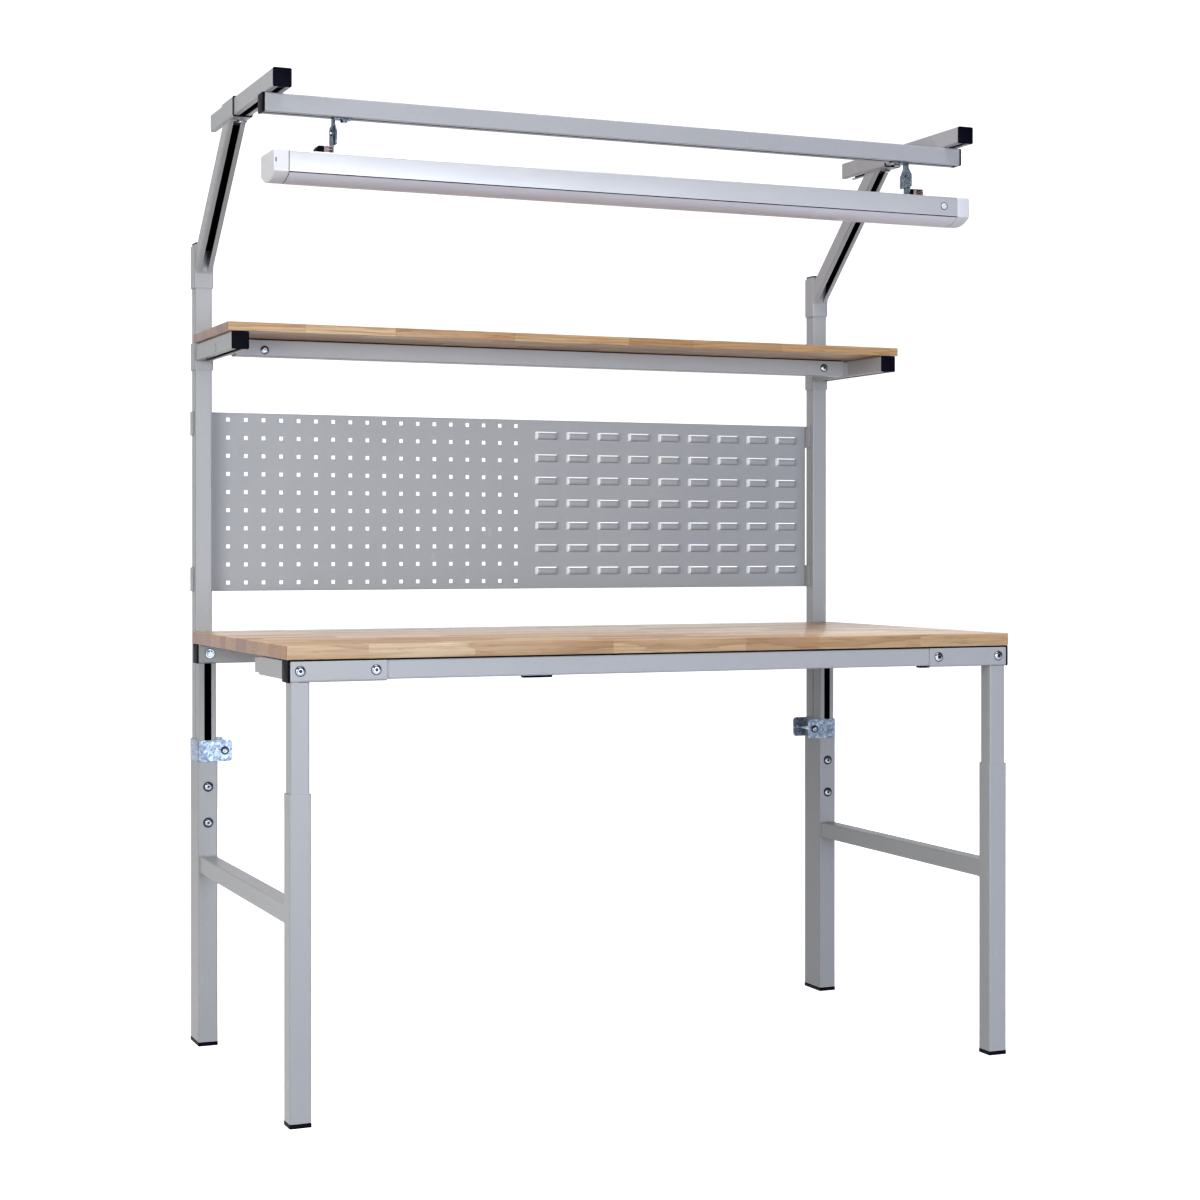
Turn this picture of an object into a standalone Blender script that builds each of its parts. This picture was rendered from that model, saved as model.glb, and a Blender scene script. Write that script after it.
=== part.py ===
"""Height-adjustable workbench with a tool panel, a shelf and a lamp on reach bars.

Metres, +Z up, +X to the right of a person who faces the bench from the front.
The origin lies on the floor in the middle of the bench's width and depth, and
the front of the bench faces -Y.
"""

import math

import bmesh
import bpy
from mathutils import Vector

# Tube system: every frame member is one square tube or the next size over it
TUBE = 0.035
WALL = 0.002
TUBE_CORNER = 0.003
SLIDE_GAP = 0.0005
SLOT = 0.015
SEAT_GAP = 0.0003
WELD_DEPTH = 0.001
SLEEVE = TUBE + 2 * SLIDE_GAP + 2 * WALL
BORE = SLEEVE - 2 * WALL
TUBE_INSIDE = TUBE - 2 * WALL

# Overall width: the frame stands a little inside the ends of its worktop
TOP_WIDTH = 1.500
TOP_OVERHANG = 0.005
FRAME_WIDTH = TOP_WIDTH - 2 * TOP_OVERHANG

# Stand
LEG_SPACING = 0.707
FRONT_LEG_TOP = 0.590
REAR_LEG_TOP = 0.585
FOOT_HEIGHT = 0.008
FOOT_LIP = 0.0005
PLUG_DEPTH = 0.020
BRACE_TOP = 0.391
POST_REACH = 0.003

# Lock bolts and clamps
LOCK_BOLT_HEIGHTS = {"upper": 0.534, "lower": 0.460}
BOLT_RADIUS = 0.004
BOLT_HOLE_RADIUS = 0.0044
BOLT_HEAD_RADIUS = 0.008
BOLT_HEAD_HEIGHT = 0.005
NUT_RADIUS = 0.012
NUT_THICKNESS = 0.004
CLAMP_STRAP = 0.003
CLAMP_HEIGHT = 0.044
CLAMP_EAR = 0.030
CLAMP_BOLT_INSET = 0.015

# Worktop and its frame
TOP_THICKNESS = 0.025
TOP_HEIGHT = 0.853
TOP_EDGE = 0.0015
TOP_POST_GAP = 0.001
BRACKET_LENGTH = 0.180
BRACKET_ARM_LENGTH = 0.185
BRACKET_BOLT_INSETS = (0.0195, 0.1595)
BRACKET_HEAD_RADIUS = 0.009
BRACKET_HEAD_HEIGHT = 0.0035
BRACKET_HEAD_SHOULDER = 0.0015
INNER_LEG_BOTTOM = 0.220
CAP_PLATE = 0.003
RAIL_END_GAP = 0.001

# Tool panel: square holes on the left half, pressed louvres on the right half
PANEL_SIDE_GAP = 0.0035
PANEL_HEIGHT = 0.374
PANEL_BOTTOM = 0.935
PANEL_SHEET = 0.0015
PANEL_FLANGE = 0.015
PANEL_RECESS = 0.033
HOLE_PITCH = 0.038
HOLE_SIZE = 0.010
HOLE_MARGIN_SIDE = 0.0376
HOLE_MARGIN_TOP = 0.0145
LOUVRE_PITCH_X = 0.075
LOUVRE_PITCH_Z = 0.050
LOUVRE_WIDTH = 0.053
LOUVRE_HEIGHT = 0.017
LOUVRE_DEPTH = 0.008
LOUVRE_GAP = 0.003
LOUVRE_SHOULDER = 0.007
LOUVRE_MARGIN_SIDE = 0.026
LOUVRE_MARGIN_TOP = 0.026
LOUVRE_ZONE_GAP = 0.012
PANEL_BRACKET_STRAP = 0.0029
PANEL_BRACKET_HEIGHT = 0.050
PANEL_BRACKET_GRIP = 0.020

# Shelf
SHELF_SLEEVE_BOTTOM = 1.394
SHELF_SLEEVE_HEIGHT = 0.056
SHELF_ARM_SEAT = 0.036
SHELF_ARM_REACH = 0.306
SHELF_WIDTH = TOP_WIDTH
SHELF_DEPTH = 0.300
SHELF_THICKNESS = 0.018
SHELF_BACK_GAP = 0.0085
SHELF_RAIL_REACH = 0.141
SHELF_RAIL_END_GAP = 0.010
SHELF_STUB_LENGTH = 0.085

# Light frame
LIGHT_SLEEVE_BOTTOM = 1.564
LIGHT_SLEEVE_HEIGHT = 0.088
LIGHT_ARM_SEAT = 0.056
LIGHT_ARM_ANGLE = math.radians(42.5)
HEAD_RISE = 0.316
HEAD_LENGTH = 0.090
REACH_BAR_LENGTH = 0.485
REACH_BAR_BACK = 0.103
REACH_CAP_PLATE = 0.004
LIGHT_RAIL_SETBACK = 0.050
LIGHT_RAIL_LENGTH = FRAME_WIDTH

# Hangers and lamp
HANGER_WIDTH = 0.045
HANGER_NECK = 0.020
HANGER_NECK_LENGTH = 0.012
HANGER_SHOULDER = 0.015
HANGER_HEIGHT = 0.052
HANGER_STRAP = 0.0025
HANGER_TAB = 0.036
PIVOT_DROP = 0.0285
PIVOT_EDGE = 0.012
PIVOT_RADIUS = 0.003
PIVOT_CLEARANCE = 0.0003
HANGER_BOLT_INSET = 0.022
HANGER_HEAD_RADIUS = 0.007
HANGER_NUT_RADIUS = 0.013
LAMP_SHIFT = 0.0075
LAMP_DROP = 0.0442
LAMP_BRACKET_WIDTH = 0.024
LAMP_FOOT_TAB = 0.040
LAMP_LENGTH = 1.485
HANGER_INSET = 0.1245
HANGER_SPREAD = LAMP_LENGTH / 2 - HANGER_INSET
LAMP_WIDTH = 0.094
LAMP_BODY_HEIGHT = 0.0405
LAMP_LENS_DEPTH = 0.0155
LENS_STEPS = 10
LAMP_SHEET = 0.0012
LENS_WALL = 0.0015
LAMP_EDGE = 0.003
LAMP_CAP_LENGTH = 0.030
LAMP_CAP_WALL = 0.002
TRAY_WIDTH = 0.080
TRAY_RISE = 0.020
HOLDER_LENGTH = 0.008
HOLDER_WIDTH = 0.030
HOLDER_DROP = 0.008
HOLDER_INSET = 0.006
LAMP_TUBE_RADIUS = 0.013
LAMP_TUBE_WALL = 0.001
LAMP_TUBE_LIFT = 0.004

# Depth positions, from the bolt heads on the front brackets back to the panel's flange
REAR_LEG_DEPTH = 2 * WALL + 2 * TUBE + 3 * SLIDE_GAP
POST_OFFSET = WALL + TUBE + 2 * SLIDE_GAP
BACK_REACH = max(REAR_LEG_DEPTH, POST_OFFSET + PANEL_RECESS + PANEL_FLANGE)
OVERALL_DEPTH = BRACKET_HEAD_HEIGHT + LEG_SPACING + BACK_REACH
LEG_FRONT_Y = BRACKET_HEAD_HEIGHT - OVERALL_DEPTH / 2
FRONT_LEG_Y = LEG_FRONT_Y + SLEEVE / 2
REAR_LEG_FRONT_Y = LEG_FRONT_Y + LEG_SPACING
REAR_LEG_Y = REAR_LEG_FRONT_Y + REAR_LEG_DEPTH / 2
REAR_INNER_Y = REAR_LEG_FRONT_Y + WALL + SLIDE_GAP + TUBE / 2
POST_FRONT_Y = REAR_LEG_FRONT_Y + POST_OFFSET
POST_Y = POST_FRONT_Y + TUBE / 2
POST_BACK_Y = POST_FRONT_Y + TUBE
SLEEVE_FRONT_Y = POST_Y - SLEEVE / 2
PANEL_FACE_Y = POST_FRONT_Y + PANEL_RECESS

# Width positions, for the right side; the left side mirrors them
LEG_X = FRAME_WIDTH / 2 - SLEEVE / 2
TUBE_OUTER_X = LEG_X + TUBE / 2
TUBE_INNER_X = LEG_X - TUBE / 2

# The panel fills the width between the posts: holes on its left half, louvres on its right half
PANEL_WIDTH = 2 * (TUBE_INNER_X - PANEL_SIDE_GAP)
HOLE_ROOM = PANEL_WIDTH / 2 - HOLE_MARGIN_SIDE
HOLE_COLUMNS = int(HOLE_ROOM / HOLE_PITCH) + 1
LOUVRE_ROOM = PANEL_WIDTH / 2 - LOUVRE_MARGIN_SIDE - LOUVRE_WIDTH - LOUVRE_ZONE_GAP
LOUVRE_COLUMNS = int(LOUVRE_ROOM / LOUVRE_PITCH_X) + 1
HOLE_ROWS = int((PANEL_HEIGHT - 2 * HOLE_MARGIN_TOP) / HOLE_PITCH) + 1
LOUVRE_ROWS = int((PANEL_HEIGHT - 2 * LOUVRE_MARGIN_TOP - LOUVRE_HEIGHT) / LOUVRE_PITCH_Z) + 1

# Height positions
TOP_UNDERSIDE = TOP_HEIGHT - TOP_THICKNESS
BRACKET_TOP = TOP_UNDERSIDE - SEAT_GAP
BRACKET_CENTRE = BRACKET_TOP - SLEEVE / 2
INNER_LEG_TOP = BRACKET_TOP - SLEEVE - SEAT_GAP
POST_TOP = LIGHT_SLEEVE_BOTTOM + LIGHT_SLEEVE_HEIGHT + POST_REACH
SHELF_ARM_CENTRE = SHELF_SLEEVE_BOTTOM + SHELF_ARM_SEAT
SHELF_ARM_TOP = SHELF_ARM_CENTRE + TUBE / 2
LIGHT_ARM_FOOT = LIGHT_SLEEVE_BOTTOM + LIGHT_ARM_SEAT
HEAD_CENTRE_HEIGHT = LIGHT_SLEEVE_BOTTOM + HEAD_RISE
REACH_BAR_UNDERSIDE = HEAD_CENTRE_HEIGHT - TUBE / 2
LIGHT_RAIL_CENTRE = REACH_BAR_UNDERSIDE - SEAT_GAP - TUBE / 2
LIGHT_RAIL_UNDERSIDE = LIGHT_RAIL_CENTRE - TUBE / 2
PIVOT_Z = LIGHT_RAIL_UNDERSIDE - PIVOT_DROP
LAMP_TOP = PIVOT_Z - LAMP_DROP
LAMP_LINE = LAMP_TOP - LAMP_BODY_HEIGHT

# Reach bars, light rail and lamp, in depth
HEAD_BOTTOM = HEAD_CENTRE_HEIGHT - SLEEVE / 2
ARM_TOP_Y = SLEEVE_FRONT_Y - (HEAD_BOTTOM - LIGHT_ARM_FOOT) / math.tan(LIGHT_ARM_ANGLE)
HEAD_Y = ARM_TOP_Y + TUBE / 2 / math.sin(LIGHT_ARM_ANGLE) - HEAD_LENGTH / 2
REACH_BAR_BACK_Y = HEAD_Y + HEAD_LENGTH / 2 + REACH_BAR_BACK
REACH_BAR_FRONT_Y = REACH_BAR_BACK_Y - REACH_BAR_LENGTH
LIGHT_RAIL_Y = REACH_BAR_FRONT_Y + LIGHT_RAIL_SETBACK + TUBE / 2

SIDES = {"left": -1, "right": 1}
ROUND_STEPS = 12


def clear_scene():
    for obj in list(bpy.data.objects):
        bpy.data.objects.remove(obj, do_unlink=True)


def make_material(name, colour, roughness, metallic):
    material = bpy.data.materials.new(name)
    material.use_nodes = True
    shader = material.node_tree.nodes["Principled BSDF"]
    shader.inputs["Base Color"].default_value = (*colour, 1.0)
    shader.inputs["Roughness"].default_value = roughness
    shader.inputs["Metallic"].default_value = metallic
    return material


# Outlines: closed lists of points, counter-clockwise, in the plane across a member

def rectangle(width, height, corner=0.0):
    """A rectangle centred on zero, its corners cut off at 45 degrees."""
    x = width / 2
    y = height / 2
    if corner <= 0.0:
        return [(-x, -y), (x, -y), (x, y), (-x, y)]
    return [
        (-x + corner, -y), (x - corner, -y), (x, -y + corner), (x, y - corner),
        (x - corner, y), (-x + corner, y), (-x, y - corner), (-x, -y + corner),
    ]


def slotted(side, wall, slot, corner):
    """A square tube wall with a slot along the middle of its lower (-second axis) side."""
    half = side / 2
    inner = half - wall
    lip = slot / 2
    return [
        (lip, -half), (half - corner, -half), (half, -half + corner), (half, half - corner),
        (half - corner, half), (-half + corner, half), (-half, half - corner),
        (-half, -half + corner), (-half + corner, -half), (-lip, -half), (-lip, -inner),
        (-inner, -inner), (-inner, inner), (inner, inner), (inner, -inner), (lip, -inner),
    ]


def half_turn(outline):
    return [(-a, -b) for a, b in outline]


def circle(radius):
    turn = 2 * math.pi / ROUND_STEPS
    return [(radius * math.cos(i * turn), radius * math.sin(i * turn)) for i in range(ROUND_STEPS)]


# A ring lifts an outline into space: along_x puts it across the X axis, and so on

def along_x(outline, x):
    return [(x, a, b) for a, b in outline]


def along_y(outline, y):
    return [(a, y, b) for a, b in outline]


def along_z(outline, z):
    return [(a, b, z) for a, b in outline]


RINGS = {"X": along_x, "Y": along_y, "Z": along_z}


def skin(name, rings, hollow=False):
    """One closed mesh through rings of equal count; a hollow one joins its last ring to its first."""
    mesh = bpy.data.meshes.new(name)
    shape = bmesh.new()
    loops = [[shape.verts.new(point) for point in ring] for ring in rings]
    pairs = list(zip(loops, loops[1:]))
    if hollow:
        pairs.append((loops[-1], loops[0]))
    else:
        shape.faces.new(loops[0])
        shape.faces.new(loops[-1])
    for first, second in pairs:
        count = len(first)
        for i in range(count):
            j = (i + 1) % count
            shape.faces.new((first[i], first[j], second[j], second[i]))
    bmesh.ops.recalc_face_normals(shape, faces=shape.faces)
    if shape.calc_volume(signed=True) < 0.0:
        bmesh.ops.reverse_faces(shape, faces=shape.faces)
    shape.to_mesh(mesh)
    shape.free()
    return mesh


def bar_mesh(name, axis, outline, start, end):
    ring = RINGS[axis]
    return skin(name, [ring(outline, start), ring(outline, end)])


def tube_mesh(name, axis, width, height, start, end):
    """A square or oblong tube with chamfered corners, open at both ends."""
    ring = RINGS[axis]
    outer = rectangle(width, height, TUBE_CORNER)
    inner = rectangle(width - 2 * WALL, height - 2 * WALL, TUBE_CORNER - WALL / 2)
    rings = [ring(outer, start), ring(outer, end), ring(inner, end), ring(inner, start)]
    return skin(name, rings, hollow=True)


def slotted_mesh(name, axis, start, end, slot_up=False):
    outline = slotted(TUBE, WALL, SLOT, TUBE_CORNER)
    if slot_up:
        outline = half_turn(outline)
    return bar_mesh(name, axis, outline, start, end)


def turned_mesh(name, axis, steps):
    """A solid of round steps along an axis; steps lists (radius, start, end) in order."""
    ring = RINGS[axis]
    rings = []
    for radius, start, end in steps:
        rings.append(ring(circle(radius), start))
        rings.append(ring(circle(radius), end))
    return skin(name, rings)


def cap_mesh(name, axis, plate, plate_thickness, plug, plug_length, outward):
    """A plastic cap: a plate that covers the end of a tube and a plug that fills its bore.

    The plate lies on the outward side of zero and the plug on the other side.
    """
    ring = RINGS[axis]
    plate_outline = rectangle(plate[0], plate[1], TUBE_CORNER)
    plug_outline = rectangle(plug[0], plug[1], TUBE_CORNER - WALL / 2)
    rings = [
        ring(plate_outline, outward * (SEAT_GAP + plate_thickness)),
        ring(plate_outline, outward * SEAT_GAP),
        ring(plug_outline, outward * SEAT_GAP),
        ring(plug_outline, -outward * plug_length),
    ]
    return skin(name, rings)


class Assembly:
    """Adds pieces to the scene under one empty for each moving group."""

    def __init__(self):
        self.anchors = {}
        self.places = {}

    def group(self, name, place=(0, 0, 0), parent=None):
        anchor = bpy.data.objects.new(name, None)
        bpy.context.collection.objects.link(anchor)
        place = Vector(place)
        if parent is None:
            anchor.location = place
        else:
            anchor.parent = self.anchors[parent]
            anchor.location = place - self.places[parent]
        self.anchors[name] = anchor
        self.places[name] = place

    def add(self, name, mesh, material, group, place=(0, 0, 0)):
        piece = bpy.data.objects.new(name, mesh)
        bpy.context.collection.objects.link(piece)
        if material is not None and not mesh.materials:
            mesh.materials.append(material)
        piece.parent = self.anchors[group]
        piece.location = Vector(place) - self.places[group]
        return piece

    def tool(self, mesh, group, place=(0, 0, 0)):
        """A shape that only cuts or extends another piece, and isn't a piece itself."""
        shape = self.add(mesh.name + "_tool", mesh, None, group, place)
        shape.hide_render = True
        shape.display_type = "WIRE"
        return shape


def combine(piece, shapes, operation):
    for shape in shapes:
        modifier = piece.modifiers.new(operation.title(), "BOOLEAN")
        modifier.operation = operation
        modifier.solver = "EXACT"
        modifier.object = shape


def weld(piece, shapes):
    combine(piece, shapes, "UNION")


def cut(piece, shapes):
    combine(piece, shapes, "DIFFERENCE")


def round_edges(piece, width):
    bevel = piece.modifiers.new("Edge", "BEVEL")
    bevel.width = width
    bevel.segments = 1
    bevel.limit_method = "ANGLE"


# Stand: outer legs on feet, side braces, posts, clamps and lock bolts

def build_outer_legs(kit, paint, group):
    hole = turned_mesh("bolt_hole", "Y", [(BOLT_HOLE_RADIUS, -WALL, 2 * WALL)])
    for side, sign in SIDES.items():
        front = tube_mesh("outer_leg_front", "Z", SLEEVE, SLEEVE, FOOT_HEIGHT + SEAT_GAP, FRONT_LEG_TOP)
        kit.add(f"outer_leg_front_{side}", front, paint, group, (sign * LEG_X, FRONT_LEG_Y, 0))
        rear = tube_mesh(
            "outer_leg_rear", "Z", SLEEVE, REAR_LEG_DEPTH, FOOT_HEIGHT + SEAT_GAP, REAR_LEG_TOP
        )
        leg = kit.add(f"outer_leg_rear_{side}", rear, paint, group, (sign * LEG_X, REAR_LEG_Y, 0))
        holes = []
        for height in LOCK_BOLT_HEIGHTS.values():
            holes.append(kit.tool(hole, group, (sign * LEG_X, REAR_LEG_FRONT_Y, height)))
        cut(leg, holes)


def build_feet(kit, plastic, group):
    depths = {"front": (FRONT_LEG_Y, SLEEVE), "rear": (REAR_LEG_Y, REAR_LEG_DEPTH)}
    for row, (y, depth) in depths.items():
        plate = (SLEEVE + 2 * FOOT_LIP, depth + 2 * FOOT_LIP)
        plug = (BORE - 2 * SEAT_GAP, depth - 2 * WALL - 2 * SEAT_GAP)
        mesh = cap_mesh(f"foot_{row}", "Z", plate, FOOT_HEIGHT, plug, PLUG_DEPTH, -1)
        for side, sign in SIDES.items():
            place = (sign * LEG_X, y, FOOT_HEIGHT + SEAT_GAP)
            kit.add(f"foot_{row}_{side}", mesh, plastic, group, place)


def build_braces(kit, paint, group):
    start = LEG_FRONT_Y + SLEEVE + SEAT_GAP
    end = REAR_LEG_FRONT_Y - SEAT_GAP
    mesh = tube_mesh("side_brace", "Y", TUBE, TUBE, start, end)
    for side, sign in SIDES.items():
        kit.add(f"side_brace_{side}", mesh, paint, group, (sign * LEG_X, 0, BRACE_TOP - TUBE / 2))


def build_posts(kit, paint, group):
    bottom = FOOT_HEIGHT + SEAT_GAP + PLUG_DEPTH + SEAT_GAP
    mesh = tube_mesh("post", "Z", TUBE, TUBE, bottom, POST_TOP)
    for side, sign in SIDES.items():
        kit.add(f"post_{side}", mesh, paint, group, (sign * LEG_X, POST_Y, 0))


def clamp_outline(sign):
    """A strap bent into a U round the inner leg and the post, with both ears towards the middle."""
    inner_x = TUBE_OUTER_X + SEAT_GAP
    outer_x = inner_x + CLAMP_STRAP
    ear_x = LEG_X - SLEEVE / 2 - CLAMP_EAR
    front = REAR_INNER_Y - TUBE / 2 - SEAT_GAP
    back = POST_BACK_Y + SEAT_GAP
    points = [
        (ear_x, front - CLAMP_STRAP), (outer_x, front - CLAMP_STRAP),
        (outer_x, back + CLAMP_STRAP), (ear_x, back + CLAMP_STRAP),
        (ear_x, back), (inner_x, back), (inner_x, front), (ear_x, front),
    ]
    return [(sign * x, y) for x, y in points]


def build_clamps(kit, zinc, group):
    bottom = REAR_LEG_TOP + SEAT_GAP
    front = REAR_INNER_Y - TUBE / 2 - CLAMP_STRAP
    back = POST_BACK_Y + CLAMP_STRAP
    for side, sign in SIDES.items():
        mesh = bar_mesh(f"clamp_{side}", "Z", clamp_outline(sign), bottom, bottom + CLAMP_HEIGHT)
        clamp = kit.add(f"clamp_{side}", mesh, zinc, group)
        bolt_x = sign * (LEG_X - SLEEVE / 2 - CLAMP_EAR + CLAMP_BOLT_INSET)
        hole = turned_mesh("clamp_hole", "Y", [(BOLT_HOLE_RADIUS, front - WALL, back + WALL)])
        cut(clamp, [kit.tool(hole, group, (bolt_x, 0, bottom + CLAMP_HEIGHT / 2))])


def build_lock_bolts(kit, steel, group):
    """Each bolt goes through the outer leg into the inner leg's slot, to a nut behind the lips."""
    nut_start = 2 * WALL + SLIDE_GAP + SEAT_GAP
    steps = [
        (BOLT_HEAD_RADIUS * 0.75, -SEAT_GAP - BOLT_HEAD_HEIGHT, -SEAT_GAP - BOLT_HEAD_HEIGHT * 0.6),
        (BOLT_HEAD_RADIUS, -SEAT_GAP - BOLT_HEAD_HEIGHT * 0.4, -SEAT_GAP),
        (BOLT_RADIUS, -SEAT_GAP, nut_start),
        (NUT_RADIUS, nut_start, nut_start + NUT_THICKNESS),
    ]
    mesh = turned_mesh("lock_bolt", "Y", steps)
    for side, sign in SIDES.items():
        for level, height in LOCK_BOLT_HEIGHTS.items():
            place = (sign * LEG_X, REAR_LEG_FRONT_Y, height)
            kit.add(f"lock_bolt_{level}_{side}", mesh, steel, group, place)


# Bench: inner legs, corner brackets, rails and worktop

def build_inner_legs(kit, paint, group):
    rows = {"front": (FRONT_LEG_Y, True), "rear": (REAR_INNER_Y, False)}
    for row, (y, slot_back) in rows.items():
        mesh = slotted_mesh(f"inner_leg_{row}", "Z", INNER_LEG_BOTTOM, INNER_LEG_TOP, slot_back)
        for side, sign in SIDES.items():
            kit.add(f"inner_leg_{row}_{side}", mesh, paint, group, (sign * LEG_X, y, 0))


def bracket_y(row):
    """The front bracket is centred on its leg; the rear one is flush with the back of its leg."""
    if row == "front":
        return FRONT_LEG_Y
    return REAR_INNER_Y + TUBE / 2 - SLEEVE / 2


def build_corner_brackets(kit, paint, group):
    face = -SLEEVE / 2
    shoulder = face - BRACKET_HEAD_SHOULDER
    head = turned_mesh("bracket_bolt", "Y", [
        (BRACKET_HEAD_RADIUS * 0.55, face - BRACKET_HEAD_HEIGHT, face - BRACKET_HEAD_HEIGHT * 0.99),
        (BRACKET_HEAD_RADIUS, shoulder, face + WELD_DEPTH),
    ])
    for row in ("front", "rear"):
        for side, sign in SIDES.items():
            outer = sign * FRAME_WIDTH / 2
            inner = outer - sign * BRACKET_LENGTH
            mesh = tube_mesh(f"corner_bracket_{row}", "X", SLEEVE, SLEEVE, outer, inner)
            place = (0, bracket_y(row), BRACKET_CENTRE)
            bracket = kit.add(f"corner_bracket_{row}_{side}", mesh, paint, group, place)
            if row == "front":
                start = SLEEVE / 2 - WELD_DEPTH
                arm = tube_mesh("bracket_arm", "Y", TUBE, TUBE, start, SLEEVE / 2 + BRACKET_ARM_LENGTH)
                tools = [kit.tool(arm, group, (sign * LEG_X, place[1], place[2]))]
                for inset in BRACKET_BOLT_INSETS:
                    tools.append(kit.tool(head, group, (outer - sign * inset, place[1], place[2])))
                weld(bracket, tools)


def build_rails(kit, paint, plastic, group):
    end = FRAME_WIDTH / 2 - RAIL_END_GAP
    for row in ("front", "rear"):
        mesh = slotted_mesh(f"{row}_rail", "X", -end, end)
        kit.add(f"{row}_rail", mesh, paint, group, (0, bracket_y(row), BRACKET_CENTRE))
    plug = TUBE_INSIDE - 2 * SEAT_GAP
    for side, sign in SIDES.items():
        mesh = cap_mesh(f"rail_cap_{side}", "X", (SLEEVE, SLEEVE), CAP_PLATE, (plug, plug), PLUG_DEPTH, sign)
        place = (sign * FRAME_WIDTH / 2, FRONT_LEG_Y, BRACKET_CENTRE)
        kit.add(f"rail_cap_{side}", mesh, plastic, group, place)


def build_worktop(kit, wood, group):
    front = LEG_FRONT_Y
    back = POST_FRONT_Y - TOP_POST_GAP
    outline = rectangle(TOP_WIDTH, back - front)
    mesh = bar_mesh("worktop", "Z", outline, TOP_UNDERSIDE, TOP_HEIGHT)
    top = kit.add("worktop", mesh, wood, group, (0, (front + back) / 2, 0))
    round_edges(top, TOP_EDGE)


# Tool panel

def cell_edges(centres, low, high):
    """Edges between neighbouring centres, with the outer edges given."""
    middles = [(a + b) / 2 for a, b in zip(centres, centres[1:])]
    return [low] + middles + [high]


class Sheet:
    """A surface whose points are shared by place, for a panel that is given its wall later."""

    def __init__(self):
        self.shape = bmesh.new()
        self.points = {}

    def point(self, x, z, y=0.0):
        key = (round(x, 6), round(y, 6), round(z, 6))
        if key not in self.points:
            self.points[key] = self.shape.verts.new((x, y, z))
        return self.points[key]

    def face(self, *corners):
        self.shape.faces.new([self.point(*corner) for corner in corners])


def square_hole_cell(sheet, left, right, low, high, x, z):
    half = HOLE_SIZE / 2
    outer = [(left, low), (right, low), (right, high), (left, high)]
    inner = [(x - half, z - half), (x + half, z - half), (x + half, z + half), (x - half, z + half)]
    for i in range(4):
        j = (i + 1) % 4
        sheet.face(outer[i], outer[j], inner[j], inner[i])


def louvre_cell(sheet, left, right, low, high, x, z):
    """A pressed hood: its foot and ends stay on the sheet and its upper lip stands forward."""
    x0 = x - LOUVRE_WIDTH / 2
    x1 = x + LOUVRE_WIDTH / 2
    z0 = z - LOUVRE_HEIGHT
    a = x0 + LOUVRE_SHOULDER
    b = x1 - LOUVRE_SHOULDER
    lip = z - LOUVRE_GAP
    waist = z0 + LOUVRE_HEIGHT * 0.3
    out = -LOUVRE_DEPTH
    half_out = -LOUVRE_DEPTH * 0.7
    sheet.face((left, low), (right, low), (x1, z0), (b, z0), (a, z0), (x0, z0))
    sheet.face((right, low), (right, high), (x1, z), (x1, z0))
    sheet.face((right, high), (left, high), (x0, z), (x1, z))
    sheet.face((left, high), (left, low), (x0, z0), (x0, z))
    sheet.face((a, z0), (b, z0), (b, waist, half_out), (a, waist, half_out))
    sheet.face((a, waist, half_out), (b, waist, half_out), (b, lip, out), (a, lip, out))
    sheet.face((x0, z0), (a, z0), (a, waist, half_out))
    sheet.face((x0, z0), (a, waist, half_out), (a, lip, out))
    sheet.face((x0, z0), (a, lip, out), (x0, z))
    sheet.face((b, z0), (x1, z0), (b, waist, half_out))
    sheet.face((x1, z0), (b, lip, out), (b, waist, half_out))
    sheet.face((x1, z0), (x1, z), (b, lip, out))


def zip_strip(sheet, x_left, left_heights, x_right, right_heights):
    """Triangles between two upright edges that have different points."""
    i = 0
    j = 0
    while i < len(left_heights) - 1 or j < len(right_heights) - 1:
        left_next = left_heights[min(i + 1, len(left_heights) - 1)]
        right_next = right_heights[min(j + 1, len(right_heights) - 1)]
        use_left = j == len(right_heights) - 1
        if not use_left and i < len(left_heights) - 1:
            use_left = left_next <= right_next
        first = (x_left, left_heights[i])
        second = (x_right, right_heights[j])
        if use_left:
            sheet.face(first, second, (x_left, left_next))
            i += 1
        else:
            sheet.face(first, second, (x_right, right_next))
            j += 1


def panel_flanges(sheet, xs_low, xs_high, zs_left, zs_right):
    """The four edges of the panel, turned back; the corners stay open."""
    half = PANEL_WIDTH / 2
    deep = PANEL_FLANGE - PANEL_SHEET
    for a, b in zip(xs_low, xs_low[1:]):
        sheet.face((a, 0, deep), (b, 0, deep), (b, 0), (a, 0))
    for a, b in zip(xs_high, xs_high[1:]):
        sheet.face((a, PANEL_HEIGHT), (b, PANEL_HEIGHT), (b, PANEL_HEIGHT, deep), (a, PANEL_HEIGHT, deep))
    notch = PANEL_SHEET * 2
    for x, heights, sign in ((-half, zs_left, -1), (half, zs_right, 1)):
        for low, high in zip(heights, heights[1:]):
            deep_low = low + notch if low == heights[0] else low
            deep_high = high - notch if high == heights[-1] else high
            corners = [(x, low), (x, high), (x, deep_high, deep), (x, deep_low, deep)]
            if sign > 0:
                sheet.face(*corners)
            else:
                sheet.face(*reversed(corners))


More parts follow.
